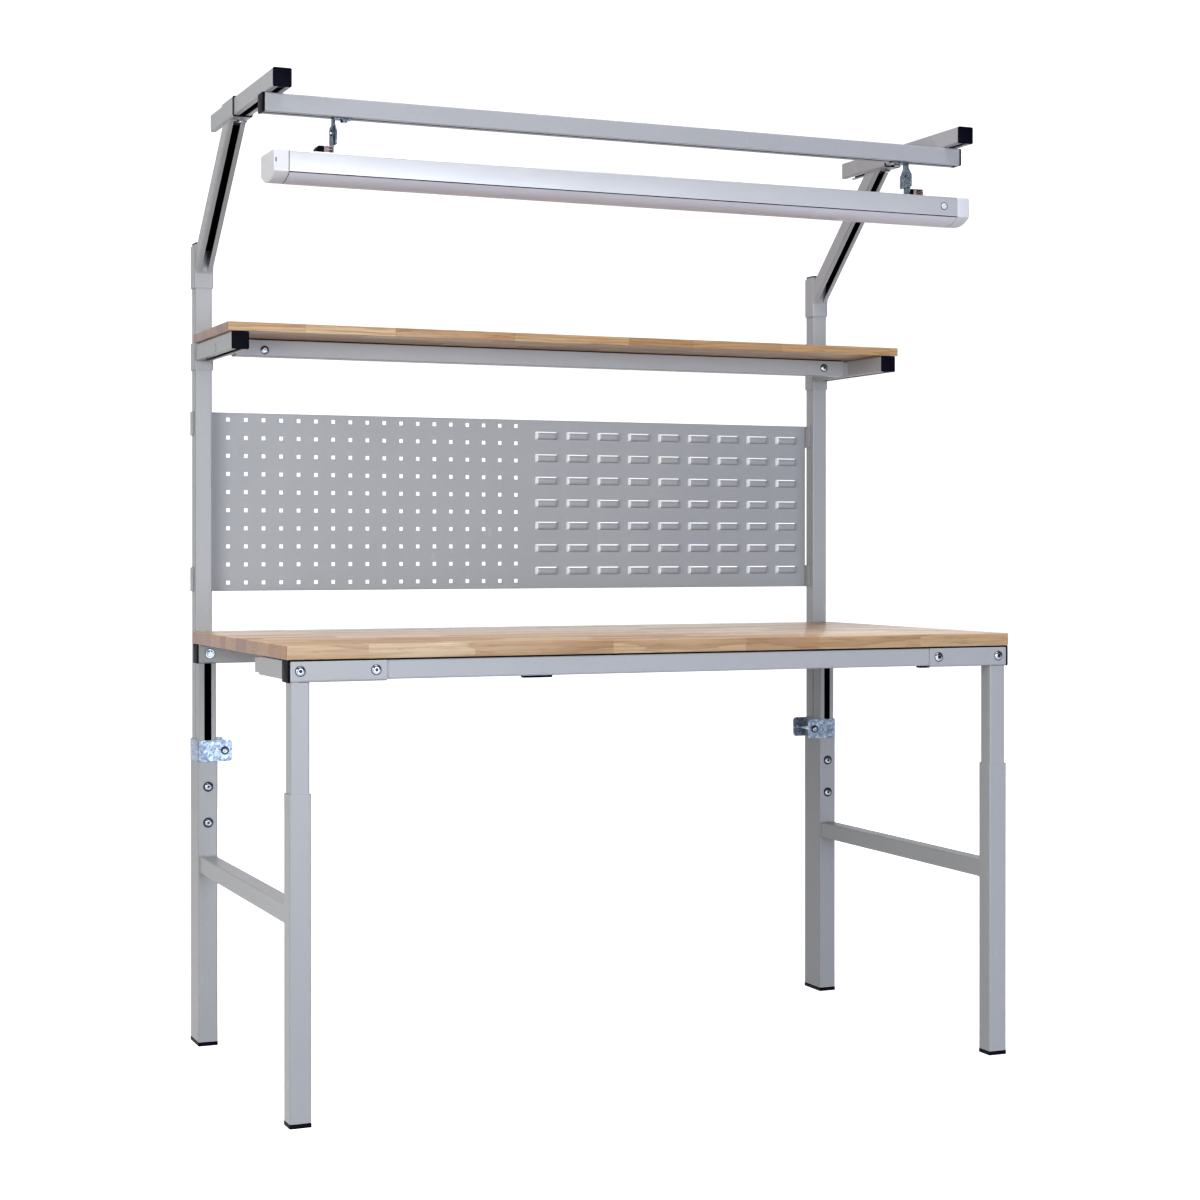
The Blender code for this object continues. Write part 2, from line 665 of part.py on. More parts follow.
def panel_mesh():
    half = PANEL_WIDTH / 2
    sheet = Sheet()
    hole_x = [-half + HOLE_MARGIN_SIDE + HOLE_PITCH * i for i in range(HOLE_COLUMNS)]
    hole_z = [PANEL_HEIGHT - HOLE_MARGIN_TOP - HOLE_PITCH * i for i in reversed(range(HOLE_ROWS))]
    hole_right = hole_x[-1] + HOLE_PITCH / 2
    hole_x_edges = cell_edges(hole_x, -half, hole_right)
    hole_z_edges = cell_edges(hole_z, 0.0, PANEL_HEIGHT)
    for i, x in enumerate(hole_x):
        for j, z in enumerate(hole_z):
            square_hole_cell(
                sheet, hole_x_edges[i], hole_x_edges[i + 1], hole_z_edges[j], hole_z_edges[j + 1], x, z
            )
    last_louvre = half - LOUVRE_MARGIN_SIDE - LOUVRE_WIDTH / 2
    louvre_x = [last_louvre - LOUVRE_PITCH_X * i for i in reversed(range(LOUVRE_COLUMNS))]
    louvre_z = [
        PANEL_HEIGHT - LOUVRE_MARGIN_TOP - LOUVRE_PITCH_Z * i for i in reversed(range(LOUVRE_ROWS))
    ]
    louvre_left = louvre_x[0] - LOUVRE_WIDTH / 2 - LOUVRE_ZONE_GAP
    louvre_x_edges = cell_edges(louvre_x, louvre_left, half)
    foot_z = [z - LOUVRE_HEIGHT / 2 for z in louvre_z]
    louvre_z_edges = cell_edges(foot_z, 0.0, PANEL_HEIGHT)
    for i, x in enumerate(louvre_x):
        for j, z in enumerate(louvre_z):
            louvre_cell(
                sheet, louvre_x_edges[i], louvre_x_edges[i + 1], louvre_z_edges[j],
                louvre_z_edges[j + 1], x, z
            )
    zip_strip(sheet, hole_right, hole_z_edges, louvre_left, louvre_z_edges)
    all_x = hole_x_edges + louvre_x_edges
    panel_flanges(sheet, all_x, all_x, hole_z_edges, louvre_z_edges)
    mesh = bpy.data.meshes.new("tool_panel")
    bmesh.ops.recalc_face_normals(sheet.shape, faces=sheet.shape.faces)
    sheet.shape.to_mesh(mesh)
    sheet.shape.free()
    return mesh


def build_panel(kit, paint, group):
    panel = kit.add("tool_panel", panel_mesh(), paint, group, (0, PANEL_FACE_Y, PANEL_BOTTOM))
    wall = panel.modifiers.new("Wall", "SOLIDIFY")
    wall.thickness = PANEL_SHEET
    wall.offset = -1.0
    wall.use_even_offset = True
    return panel


def panel_bracket_outline(sign):
    """Plan of the bracket: a long leg between panel and post, and a hook round the post's back."""
    leg_inner = TUBE_INNER_X - SEAT_GAP - PANEL_BRACKET_STRAP
    leg_outer = TUBE_INNER_X - SEAT_GAP
    hook_inner = TUBE_OUTER_X + SEAT_GAP
    hook_outer = hook_inner + PANEL_BRACKET_STRAP
    back = POST_BACK_Y + SEAT_GAP
    points = [
        (leg_inner, back - PANEL_BRACKET_GRIP), (leg_outer, back - PANEL_BRACKET_GRIP),
        (leg_outer, back), (hook_inner, back), (hook_inner, back - PANEL_BRACKET_GRIP),
        (hook_outer, back - PANEL_BRACKET_GRIP), (hook_outer, back + PANEL_BRACKET_STRAP),
        (leg_outer, back + PANEL_BRACKET_STRAP), (leg_outer, PANEL_FACE_Y + PANEL_FLANGE),
        (leg_inner, PANEL_FACE_Y + PANEL_FLANGE),
    ]
    return [(sign * x, y) for x, y in points]


def build_panel_brackets(kit, paint, group):
    bottoms = {"upper": PANEL_BOTTOM + PANEL_HEIGHT - PANEL_BRACKET_HEIGHT, "lower": PANEL_BOTTOM}
    for level, bottom in bottoms.items():
        for side, sign in SIDES.items():
            name = f"panel_bracket_{level}_{side}"
            mesh = bar_mesh(name, "Z", panel_bracket_outline(sign), bottom, bottom + PANEL_BRACKET_HEIGHT)
            kit.add(name, mesh, paint, group)


# Shelf

def build_shelf(kit, paint, plastic, wood, group):
    arm_front = SLEEVE_FRONT_Y - SHELF_ARM_REACH
    rail_y = SLEEVE_FRONT_Y - SHELF_RAIL_REACH
    sleeve_top = SHELF_SLEEVE_BOTTOM + SHELF_SLEEVE_HEIGHT
    stub_size = TUBE_INSIDE - 2 * SLIDE_GAP
    plug = TUBE_INSIDE - 2 * SEAT_GAP
    for side, sign in SIDES.items():
        sleeve = tube_mesh("shelf_sleeve", "Z", SLEEVE, SLEEVE, SHELF_SLEEVE_BOTTOM, sleeve_top)
        carrier = kit.add(f"shelf_carrier_{side}", sleeve, paint, group, (sign * LEG_X, POST_Y, 0))
        arm = slotted_mesh("shelf_arm", "Y", arm_front, SLEEVE_FRONT_Y + WELD_DEPTH)
        stub_start = sign * (TUBE_INNER_X + WELD_DEPTH)
        stub_end = sign * (TUBE_INNER_X - SHELF_STUB_LENGTH)
        stub = tube_mesh("shelf_stub", "X", stub_size, stub_size, stub_start, stub_end)
        weld(carrier, [
            kit.tool(arm, group, (sign * LEG_X, 0, SHELF_ARM_CENTRE)),
            kit.tool(stub, group, (0, rail_y, SHELF_ARM_CENTRE)),
        ])
        cap = cap_mesh(f"shelf_cap_{side}", "Y", (TUBE, TUBE), CAP_PLATE, (plug, plug), PLUG_DEPTH, -1)
        kit.add(f"shelf_cap_{side}", cap, plastic, group, (sign * LEG_X, arm_front, SHELF_ARM_CENTRE))
    rail_end = TUBE_INNER_X - SHELF_RAIL_END_GAP
    rail = tube_mesh("shelf_rail", "X", TUBE, TUBE, -rail_end, rail_end)
    kit.add("shelf_rail", rail, paint, group, (0, rail_y, SHELF_ARM_CENTRE))
    board_y = SLEEVE_FRONT_Y - SHELF_BACK_GAP - SHELF_DEPTH / 2
    board_bottom = SHELF_ARM_TOP + SEAT_GAP
    outline = rectangle(SHELF_WIDTH, SHELF_DEPTH)
    mesh = bar_mesh("shelf_board", "Z", outline, board_bottom, board_bottom + SHELF_THICKNESS)
    board = kit.add("shelf_board", mesh, wood, group, (0, board_y, 0))
    round_edges(board, TOP_EDGE)


# Light frame

def slanted_arm_mesh():
    """The slotted tube from a post sleeve up to a head sleeve, mitred to both.

    A point of the outline lies p across the arm in the upright plane. Its lower end is
    where its line meets the sleeve's front, and its upper end where it meets the head.
    """
    rise = math.tan(LIGHT_ARM_ANGLE)
    wall_y = SLEEVE_FRONT_Y + WELD_DEPTH
    head_z = HEAD_BOTTOM + WELD_DEPTH
    lower = []
    upper = []
    for x, p in slotted(TUBE, WALL, SLOT, TUBE_CORNER):
        offset = p / math.cos(LIGHT_ARM_ANGLE)
        low_z = LIGHT_ARM_FOOT - WELD_DEPTH * rise + offset
        lower.append((x, wall_y, low_z))
        upper.append((x, wall_y - (head_z - low_z) / rise, head_z))
    return skin("slanted_arm", [lower, upper])


def build_light_arms(kit, paint, group):
    sleeve_top = LIGHT_SLEEVE_BOTTOM + LIGHT_SLEEVE_HEIGHT
    arm = slanted_arm_mesh()
    for side, sign in SIDES.items():
        sleeve = tube_mesh("light_sleeve", "Z", SLEEVE, SLEEVE, LIGHT_SLEEVE_BOTTOM, sleeve_top)
        piece = kit.add(f"light_arm_{side}", sleeve, paint, group, (sign * LEG_X, POST_Y, 0))
        head = tube_mesh("head_sleeve", "Y", SLEEVE, SLEEVE, -HEAD_LENGTH / 2, HEAD_LENGTH / 2)
        weld(piece, [
            kit.tool(arm, group, (sign * LEG_X, 0, 0)),
            kit.tool(head, group, (sign * LEG_X, HEAD_Y, HEAD_CENTRE_HEIGHT)),
        ])


def build_reach(kit, paint, plastic, group):
    plug = TUBE_INSIDE - 2 * SEAT_GAP
    bar = slotted_mesh("reach_bar", "Y", REACH_BAR_FRONT_Y, REACH_BAR_BACK_Y)
    cap = cap_mesh("reach_cap", "Y", (TUBE, TUBE), REACH_CAP_PLATE, (plug, plug), PLUG_DEPTH, -1)
    for side, sign in SIDES.items():
        kit.add(f"reach_bar_{side}", bar, paint, group, (sign * LEG_X, 0, HEAD_CENTRE_HEIGHT))
        place = (sign * LEG_X, REACH_BAR_FRONT_Y, HEAD_CENTRE_HEIGHT)
        kit.add(f"reach_cap_{side}", cap, plastic, group, place)
    rail = slotted_mesh("light_rail", "X", -LIGHT_RAIL_LENGTH / 2, LIGHT_RAIL_LENGTH / 2)
    kit.add("light_rail", rail, paint, group, (0, LIGHT_RAIL_Y, LIGHT_RAIL_CENTRE))


# Hangers, lamp brackets and lamp

def hanger_x(sign):
    return LAMP_SHIFT + sign * HANGER_SPREAD


def hanger_outline():
    """The hanger's upright plate seen along X: a neck below the rail that widens to a foot."""
    top = LIGHT_RAIL_UNDERSIDE - SEAT_GAP
    neck = HANGER_NECK / 2
    wide = HANGER_WIDTH / 2
    shoulder = top - HANGER_NECK_LENGTH
    hip = shoulder - HANGER_SHOULDER
    foot = top - HANGER_HEIGHT
    right = [(wide, foot), (wide, hip), (neck, shoulder), (neck, top)]
    return right + [(-y, z) for y, z in reversed(right)]


def build_hangers(kit, zinc, group):
    """A plate below the rail, its tab and bolt in the rail's slot, and the lamp's pivot pin."""
    tab_top = LIGHT_RAIL_UNDERSIDE - SEAT_GAP
    tab_bottom = tab_top - HANGER_STRAP
    nut_start = LIGHT_RAIL_UNDERSIDE + WALL + SEAT_GAP
    for side, sign in SIDES.items():
        outer = hanger_x(sign)
        mesh = bar_mesh(f"hanger_{side}", "X", hanger_outline(), outer, outer - sign * HANGER_STRAP)
        hanger = kit.add(f"hanger_{side}", mesh, zinc, group, (0, LIGHT_RAIL_Y, 0))
        tab_middle = outer - sign * (HANGER_TAB + WELD_DEPTH) / 2
        tab = bar_mesh("hanger_tab", "Z", rectangle(HANGER_TAB - WELD_DEPTH, HANGER_NECK), tab_bottom, tab_top)
        bolt = turned_mesh("hanger_bolt", "Z", [
            (HANGER_HEAD_RADIUS, tab_bottom - BOLT_HEAD_HEIGHT, tab_bottom + WELD_DEPTH),
            (BOLT_RADIUS, tab_bottom + WELD_DEPTH, nut_start),
            (HANGER_NUT_RADIUS, nut_start, nut_start + NUT_THICKNESS),
        ])
        pin = turned_mesh("pivot_pin", "X", [
            (PIVOT_RADIUS, outer - sign * WELD_DEPTH, outer + sign * (SEAT_GAP + HANGER_STRAP + WALL)),
        ])
        weld(hanger, [
            kit.tool(tab, group, (tab_middle, LIGHT_RAIL_Y, 0)),
            kit.tool(bolt, group, (outer - sign * HANGER_BOLT_INSET, LIGHT_RAIL_Y, 0)),
            kit.tool(pin, group, (0, LIGHT_RAIL_Y, PIVOT_Z)),
        ])


def build_lamp_brackets(kit, zinc, group):
    """An angle that hangs on the pivot pin and stands on the lamp's back."""
    half_width = LAMP_BRACKET_WIDTH / 2
    foot_bottom = LAMP_TOP + SEAT_GAP
    foot_top = foot_bottom + HANGER_STRAP
    for side, sign in SIDES.items():
        inner = hanger_x(sign) + sign * SEAT_GAP
        outer = inner + sign * HANGER_STRAP
        foot_end = inner + sign * LAMP_FOOT_TAB
        profile = [
            (inner, foot_bottom), (foot_end, foot_bottom), (foot_end, foot_top),
            (outer, foot_top), (outer, PIVOT_Z + PIVOT_EDGE), (inner, PIVOT_Z + PIVOT_EDGE),
        ]
        mesh = bar_mesh(f"lamp_bracket_{side}", "Y", profile, -half_width, half_width)
        bracket = kit.add(f"lamp_bracket_{side}", mesh, zinc, group, (0, LIGHT_RAIL_Y, 0))
        hole_radius = PIVOT_RADIUS + PIVOT_CLEARANCE
        hole = turned_mesh("pivot_hole", "X", [(hole_radius, inner - sign * WALL, outer + sign * WALL)])
        cut(bracket, [kit.tool(hole, group, (0, LIGHT_RAIL_Y, PIVOT_Z))])


def lens_arc(inset):
    """The lens's round underside from one rim to the other, as (across, height) points."""
    half = LAMP_WIDTH / 2 - inset
    depth = LAMP_LENS_DEPTH - inset
    radius = (half * half + depth * depth) / (2 * depth)
    sweep = math.asin(half / radius)
    points = []
    for i in range(LENS_STEPS + 1):
        angle = sweep * (1 - 2 * i / LENS_STEPS)
        points.append((radius * math.sin(angle), radius - depth - radius * math.cos(angle)))
    return points


def lens_outline():
    return lens_arc(0.0) + list(reversed(lens_arc(LENS_WALL)))


def housing_outline():
    """A channel open at its underside, with both top edges bevelled inside and out."""
    half = LAMP_WIDTH / 2
    top = LAMP_BODY_HEIGHT
    inside = half - LAMP_SHEET
    roof = top - LAMP_SHEET
    fold = LAMP_EDGE - LAMP_SHEET * (2.0 - math.sqrt(2.0))
    right = [(half, 0.0), (half, top - LAMP_EDGE), (half - LAMP_EDGE, top)]
    right_inside = [(inside - fold, roof), (inside, roof - fold), (inside, 0.0)]
    left = [(-x, z) for x, z in reversed(right)]
    left_inside = [(-x, z) for x, z in reversed(right_inside)]
    return right + left + left_inside + right_inside


def cap_outline(inset):
    half = LAMP_WIDTH / 2 - inset
    top = LAMP_BODY_HEIGHT - inset
    shoulders = [(-half, top - LAMP_EDGE), (LAMP_EDGE - half, top), (half - LAMP_EDGE, top), (half, top - LAMP_EDGE)]
    return shoulders + lens_arc(inset)


def build_lamp(kit, enamel, lens_plastic, cap_plastic, glass, group):
    place = (LAMP_SHIFT, LIGHT_RAIL_Y, LAMP_LINE)
    end = LAMP_LENGTH / 2 - LAMP_CAP_LENGTH - SEAT_GAP
    housing = bar_mesh("lamp_housing", "X", housing_outline(), -end, end)
    kit.add("lamp_housing", housing, enamel, group, place)
    lens = bar_mesh("lamp_diffuser", "X", lens_outline(), -end, end)
    kit.add("lamp_diffuser", lens, lens_plastic, group, (LAMP_SHIFT, LIGHT_RAIL_Y, LAMP_LINE - SEAT_GAP))
    for side, sign in SIDES.items():
        face = sign * LAMP_LENGTH / 2
        rim = face - sign * LAMP_CAP_LENGTH
        floor = face - sign * LAMP_CAP_WALL
        outer = cap_outline(0.0)
        inner = cap_outline(LAMP_CAP_WALL)
        rings = [along_x(outer, face), along_x(outer, rim), along_x(inner, rim), along_x(inner, floor)]
        kit.add(f"lamp_cap_{side}", skin(f"lamp_cap_{side}", rings), cap_plastic, group, place)
    build_gear_tray(kit, enamel, group, place, end)
    tube_end = end - HOLDER_INSET - HOLDER_LENGTH - SEAT_GAP
    outer = circle(LAMP_TUBE_RADIUS)
    inner = circle(LAMP_TUBE_RADIUS - LAMP_TUBE_WALL)
    rings = [
        along_x(outer, -tube_end), along_x(outer, tube_end),
        along_x(inner, tube_end), along_x(inner, -tube_end),
    ]
    tube = skin("lamp_tube", rings, hollow=True)
    kit.add("lamp_tube", tube, glass, group, (LAMP_SHIFT, LIGHT_RAIL_Y, LAMP_LINE + LAMP_TUBE_LIFT))


def build_gear_tray(kit, enamel, group, place, end):
    """A folded tray inside the housing that carries the wiring above and a lampholder at each end."""
    half = TRAY_WIDTH / 2
    top = LAMP_BODY_HEIGHT - LAMP_SHEET - SEAT_GAP
    plate = TRAY_RISE + LAMP_SHEET
    profile = [
        (half, TRAY_RISE), (half, top), (half - LAMP_SHEET, top), (half - LAMP_SHEET, plate),
        (LAMP_SHEET - half, plate), (LAMP_SHEET - half, top), (-half, top), (-half, TRAY_RISE),
    ]
    tray_end = end - HOLDER_INSET
    mesh = bar_mesh("lamp_gear_tray", "X", profile, -tray_end, tray_end)
    tray = kit.add("lamp_gear_tray", mesh, enamel, group, place)
    outline = rectangle(HOLDER_LENGTH, HOLDER_WIDTH)
    holders = []
    for sign in SIDES.values():
        x = place[0] + sign * (tray_end - HOLDER_LENGTH / 2)
        holder = bar_mesh("lampholder", "Z", outline, -HOLDER_DROP, TRAY_RISE + LAMP_SHEET / 2)
        holders.append(kit.tool(holder, group, (x, place[1], place[2])))
    weld(tray, holders)


def build():
    clear_scene()
    paint = make_material("grey_paint", (0.42, 0.43, 0.46), 0.45, 0.0)
    panel_paint = make_material("panel_paint", (0.34, 0.35, 0.38), 0.5, 0.0)
    plastic = make_material("black_plastic", (0.01, 0.01, 0.015), 0.5, 0.0)
    zinc = make_material("zinc_plate", (0.62, 0.66, 0.72), 0.35, 1.0)
    steel = make_material("bright_steel", (0.7, 0.7, 0.72), 0.25, 1.0)
    wood = make_material("hardwood", (0.62, 0.42, 0.24), 0.4, 0.0)
    enamel = make_material("white_enamel", (0.80, 0.82, 0.88), 0.35, 0.0)
    cap_plastic = make_material("white_plastic", (0.78, 0.78, 0.82), 0.4, 0.0)
    lens_plastic = make_material("lens_plastic", (0.58, 0.55, 0.60), 0.5, 0.0)
    glass = make_material("tube_glass", (0.9, 0.9, 0.9), 0.3, 0.0)

    kit = Assembly()
    kit.group("stand")
    kit.group("bench", (0, 0, TOP_HEIGHT), "stand")
    kit.group("panel", (0, PANEL_FACE_Y, PANEL_BOTTOM), "stand")
    kit.group("shelf", (0, POST_Y, SHELF_SLEEVE_BOTTOM), "stand")
    kit.group("light_arms", (0, POST_Y, LIGHT_SLEEVE_BOTTOM), "stand")
    kit.group("reach", (0, HEAD_Y, HEAD_CENTRE_HEIGHT), "light_arms")
    kit.group("hangers", (0, LIGHT_RAIL_Y, LIGHT_RAIL_UNDERSIDE), "reach")
    kit.group("lamp", (LAMP_SHIFT, LIGHT_RAIL_Y, PIVOT_Z), "hangers")

    build_outer_legs(kit, paint, "stand")
    build_feet(kit, plastic, "stand")
    build_braces(kit, paint, "stand")
    build_posts(kit, paint, "stand")
    build_clamps(kit, zinc, "stand")
    build_lock_bolts(kit, steel, "stand")
    build_inner_legs(kit, paint, "bench")
    build_corner_brackets(kit, paint, "bench")
    build_rails(kit, paint, plastic, "bench")
    build_worktop(kit, wood, "bench")
    build_panel(kit, panel_paint, "panel")
    build_panel_brackets(kit, paint, "panel")
    build_shelf(kit, paint, plastic, wood, "shelf")
    build_light_arms(kit, paint, "light_arms")
    build_reach(kit, paint, plastic, "reach")
    build_hangers(kit, zinc, "hangers")
    build_lamp_brackets(kit, zinc, "lamp")
    build_lamp(kit, enamel, lens_plastic, cap_plastic, glass, "lamp")


build()
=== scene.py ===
# %% [markdown]
# # Dressing a height-adjustable workbench
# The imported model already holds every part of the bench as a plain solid: square tubes with cut
# corners, flat plates and boards. This lesson puts a finished surface over each of them, one step
# at a time. Nearly everything here is steel tube or folded sheet, so most shapes are one outline
# carried along a line, and numpy can work out such a surface as a whole grid of points at once.

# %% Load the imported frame
import math

import bmesh
import bpy
import numpy as np
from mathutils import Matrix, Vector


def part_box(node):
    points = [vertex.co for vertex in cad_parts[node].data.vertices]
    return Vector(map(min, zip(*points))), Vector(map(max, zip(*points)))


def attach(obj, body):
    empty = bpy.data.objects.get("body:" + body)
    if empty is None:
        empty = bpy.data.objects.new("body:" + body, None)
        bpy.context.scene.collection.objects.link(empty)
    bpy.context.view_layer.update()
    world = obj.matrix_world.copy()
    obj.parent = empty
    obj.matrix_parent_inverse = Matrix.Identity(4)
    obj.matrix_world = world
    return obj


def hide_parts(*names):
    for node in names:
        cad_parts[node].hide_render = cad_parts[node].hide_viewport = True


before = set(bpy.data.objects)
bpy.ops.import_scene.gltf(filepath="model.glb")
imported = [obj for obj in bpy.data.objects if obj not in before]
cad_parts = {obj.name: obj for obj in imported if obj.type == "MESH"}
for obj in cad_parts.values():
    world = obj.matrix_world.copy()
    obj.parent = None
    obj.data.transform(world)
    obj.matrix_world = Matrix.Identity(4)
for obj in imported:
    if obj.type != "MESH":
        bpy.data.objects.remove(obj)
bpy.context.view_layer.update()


def corners(node):
    """The lowest and the highest corner of a node's box, as arrays that can be added and halved."""
    return [np.array(corner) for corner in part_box(node)]


# %% [markdown]
# ## Camera
# The photograph looks at the bench from the front and a little to its left, from about a metre
# above the floor, with upright lines kept upright. That is a camera held level, to about an eighth
# of a degree, with a small shift of the picture: a tilt would make the legs converge.

# %% Camera at the photograph's place
camera_data = bpy.data.cameras.new("camera")
camera_data.lens = 66.58
camera_data.sensor_width = 36.0
camera_data.shift_y = -0.0405
camera = bpy.data.objects.new("camera", camera_data)
bpy.context.collection.objects.link(camera)
camera.location = (-1.7783, -4.20405, 1.0277)
camera.rotation_euler = (math.radians(90 - 0.12), 0.0, math.radians(-23.141))
bpy.context.scene.camera = camera
print("camera stands", round(-camera.location.y, 2), "m in front of the middle of the bench")

# %% [markdown]
# ## Floor and light
# A product picture of this kind is taken on a white sweep: a floor that curves up into a wall. The
# sweep is one profile line carried sideways. Large soft lights stand in front, on the left and
# above, with weaker ones on the right and behind. A small one on the left draws crisp highlights,
# and a weak one high in front is seen only in gloss.

# %% Helpers for surfaces on a grid
def grid_faces(rows, columns, close_rows=False, close_columns=False):
    """Quads of a grid numbered row by row: corner (r, c) joins (r, c+1), (r+1, c+1) and (r+1, c)."""
    r = np.arange(rows if close_rows else rows - 1)
    c = np.arange(columns if close_columns else columns - 1)
    r, c = np.meshgrid(r, c, indexing="ij")
    r_next = (r + 1) % rows
    c_next = (c + 1) % columns
    quads = np.stack(
        [r * columns + c, r * columns + c_next, r_next * columns + c_next, r_next * columns + c], axis=-1
    )
    return quads.reshape(-1, 4)


def signed_volume(points, face_sets):
    """Sum of a . (b x c) / 6 over the triangles of each face's fan; it is negative inside out."""
    total = 0.0
    for faces in face_sets:
        first = points[faces[:, 0]]
        for i in range(1, faces.shape[1] - 1):
            cross = np.cross(points[faces[:, i]], points[faces[:, i + 1]])
            total += float(np.sum(first * cross)) / 6.0
    return total


def outward(points, face_sets):
    """A closed shell with its faces turned outwards."""
    points = np.asarray(points, float).reshape(-1, 3)
    if signed_volume(points - points.mean(axis=0), face_sets) < 0.0:
        face_sets = [faces[:, ::-1] for faces in face_sets]
    return points, face_sets


def marked_row(shell, columns, row):
    """The shell with one row of its first grid, faces row * columns and on, given material 1."""
    points, face_sets = shell
    marks = [np.zeros(len(faces), int) for faces in face_sets]
    marks[0][row * columns:(row + 1) * columns] = 1
    return points, face_sets, np.concatenate(marks)


def join_shells(shells):
    """Several shells as one list of points and faces, each shell's numbers moved past the last."""
    points = np.concatenate([shell[0] for shell in shells])
    faces = []
    marks = []
    start = 0
    for shell in shells:
        for face_set in shell[1]:
            faces.extend((face_set + start).tolist())
        start += len(shell[0])
        count = sum(len(face_set) for face_set in shell[1])
        marks.append(shell[2] if len(shell) > 2 else np.zeros(count, int))
    return points, faces, np.concatenate(marks)


def mesh_of(name, shells, smooth_angle=32.0):
    points, faces, marks = join_shells(shells)
    mesh = bpy.data.meshes.new(name)
    mesh.from_pydata(points.tolist(), [], faces)
    mesh.polygons.foreach_set("use_smooth", np.ones(len(mesh.polygons), bool))
    mesh.polygons.foreach_set("material_index", marks.astype(np.int32))
    mesh.set_sharp_from_angle(angle=math.radians(smooth_angle))
    mesh.update()
    return mesh


def stage_piece(name, mesh):
    piece = bpy.data.objects.new(name, mesh)
    bpy.context.collection.objects.link(piece)
    return piece


# %% The white sweep
SWEEP_HALF_WIDTH, SWEEP_HEIGHT = 9.0, 7.0
SWEEP_FRONT, SWEEP_BACK = -9.0, 5.0
SWEEP_BEND, SWEEP_STEPS = 2.0, 24


def sweep_floor():
    """Floor, quarter circle and wall: the circle is (back + bend sin t, bend - bend cos t)."""
    t = np.linspace(0.0, math.pi / 2, SWEEP_STEPS)
    y = np.concatenate([[SWEEP_FRONT], SWEEP_BACK + SWEEP_BEND * np.sin(t), [SWEEP_BACK + SWEEP_BEND]])
    z = np.concatenate([[0.0], SWEEP_BEND - SWEEP_BEND * np.cos(t), [SWEEP_HEIGHT]])
    x = np.array([-SWEEP_HALF_WIDTH, SWEEP_HALF_WIDTH])
    grid = np.stack(
        [np.broadcast_to(x, (len(y), 2)), np.stack([y, y], 1), np.stack([z, z], 1)], axis=-1
    )
    return grid.reshape(-1, 3), [grid_faces(len(y), 2)]


floor = stage_piece("studio_floor", mesh_of("studio_floor", [sweep_floor()], 80.0))
floor.visible_diffuse = False
print("sweep has", len(floor.data.polygons), "faces")


# %% Lights
def soft_light(name, place, aim, size, power, colour):
    data = bpy.data.lights.new(name, "AREA")
    data.shape = "RECTANGLE"
    data.size = size[0]
    data.size_y = size[1]
    data.energy = power
    data.color = colour
    light = bpy.data.objects.new(name, data)
    bpy.context.collection.objects.link(light)
    light.location = place
    light.visible_camera = False
    direction = np.array(aim, float) - np.array(place, float)
    yaw = math.atan2(direction[0], direction[1])
    level = math.hypot(direction[0], direction[1])
    light.rotation_euler = (math.pi / 2 + math.atan2(direction[2], level), 0.0, -yaw)
    return light


AIM = (0.0, 0.0, 1.1)
LIGHTS = {  # place, aim, size, watts, colour
    "front_light": ((0.3, -4.5, 1.2), AIM, (2.0, 2.0), 94.0, (0.912, 0.996, 1.13)),
    "left_light": ((-3.2, -2.0, 1.6), AIM, (1.4, 2.0), 69.2, (1.008, 1.016, 0.948)),
    "crisp_light": ((-2.5, -2.6, 1.3), AIM, (0.4, 0.6), 10.6, (0.968, 1.002, 1.037)),
    "top_light": ((-0.4, -0.6, 4.4), (0.0, 0.0, 0.9), (3.0, 2.2), 95.5, (1.057, 0.97, 1.024)),
    "right_light": ((3.0, -3.6, 1.6), AIM, (2.6, 2.2), 45.4, (0.95, 0.986, 1.094)),
    "gloss_light": ((0.0, -4.5, 2.7), (0.0, 0.0, 1.6), (1.4, 0.9), 7.2, (1.047, 1.008, 0.923)),
    "rear_light": ((1.3, 4.4, 1.6), AIM, (2.4, 2.0), 42.0, (0.97, 0.99, 1.04)),
}
lights = {name: soft_light(name, *entry) for name, entry in LIGHTS.items()}
lights["right_light"].visible_glossy = False
lights["gloss_light"].visible_diffuse = False
lights["rear_light"].visible_glossy = False
bpy.context.scene.view_settings.view_transform = "Standard"

world = bpy.data.worlds.new("studio")
world.use_nodes = True
backdrop = world.node_tree.nodes["Background"]
backdrop.inputs["Color"].default_value = (0.941, 0.972, 1.139, 1.0)
backdrop.inputs["Strength"].default_value = 0.063
bpy.context.scene.world = world
print("lights:", list(lights))

# %% [markdown]
# ## A small vocabulary for materials
# Every finish below is a network of nodes. Writing `nodes.new` for each one hides the idea, so a
# few short helpers say what a node is for: noise at a size in millimetres, a ramp between two
# tones, a bump of a height in millimetres. Patterns read Object coordinates, which are metres.

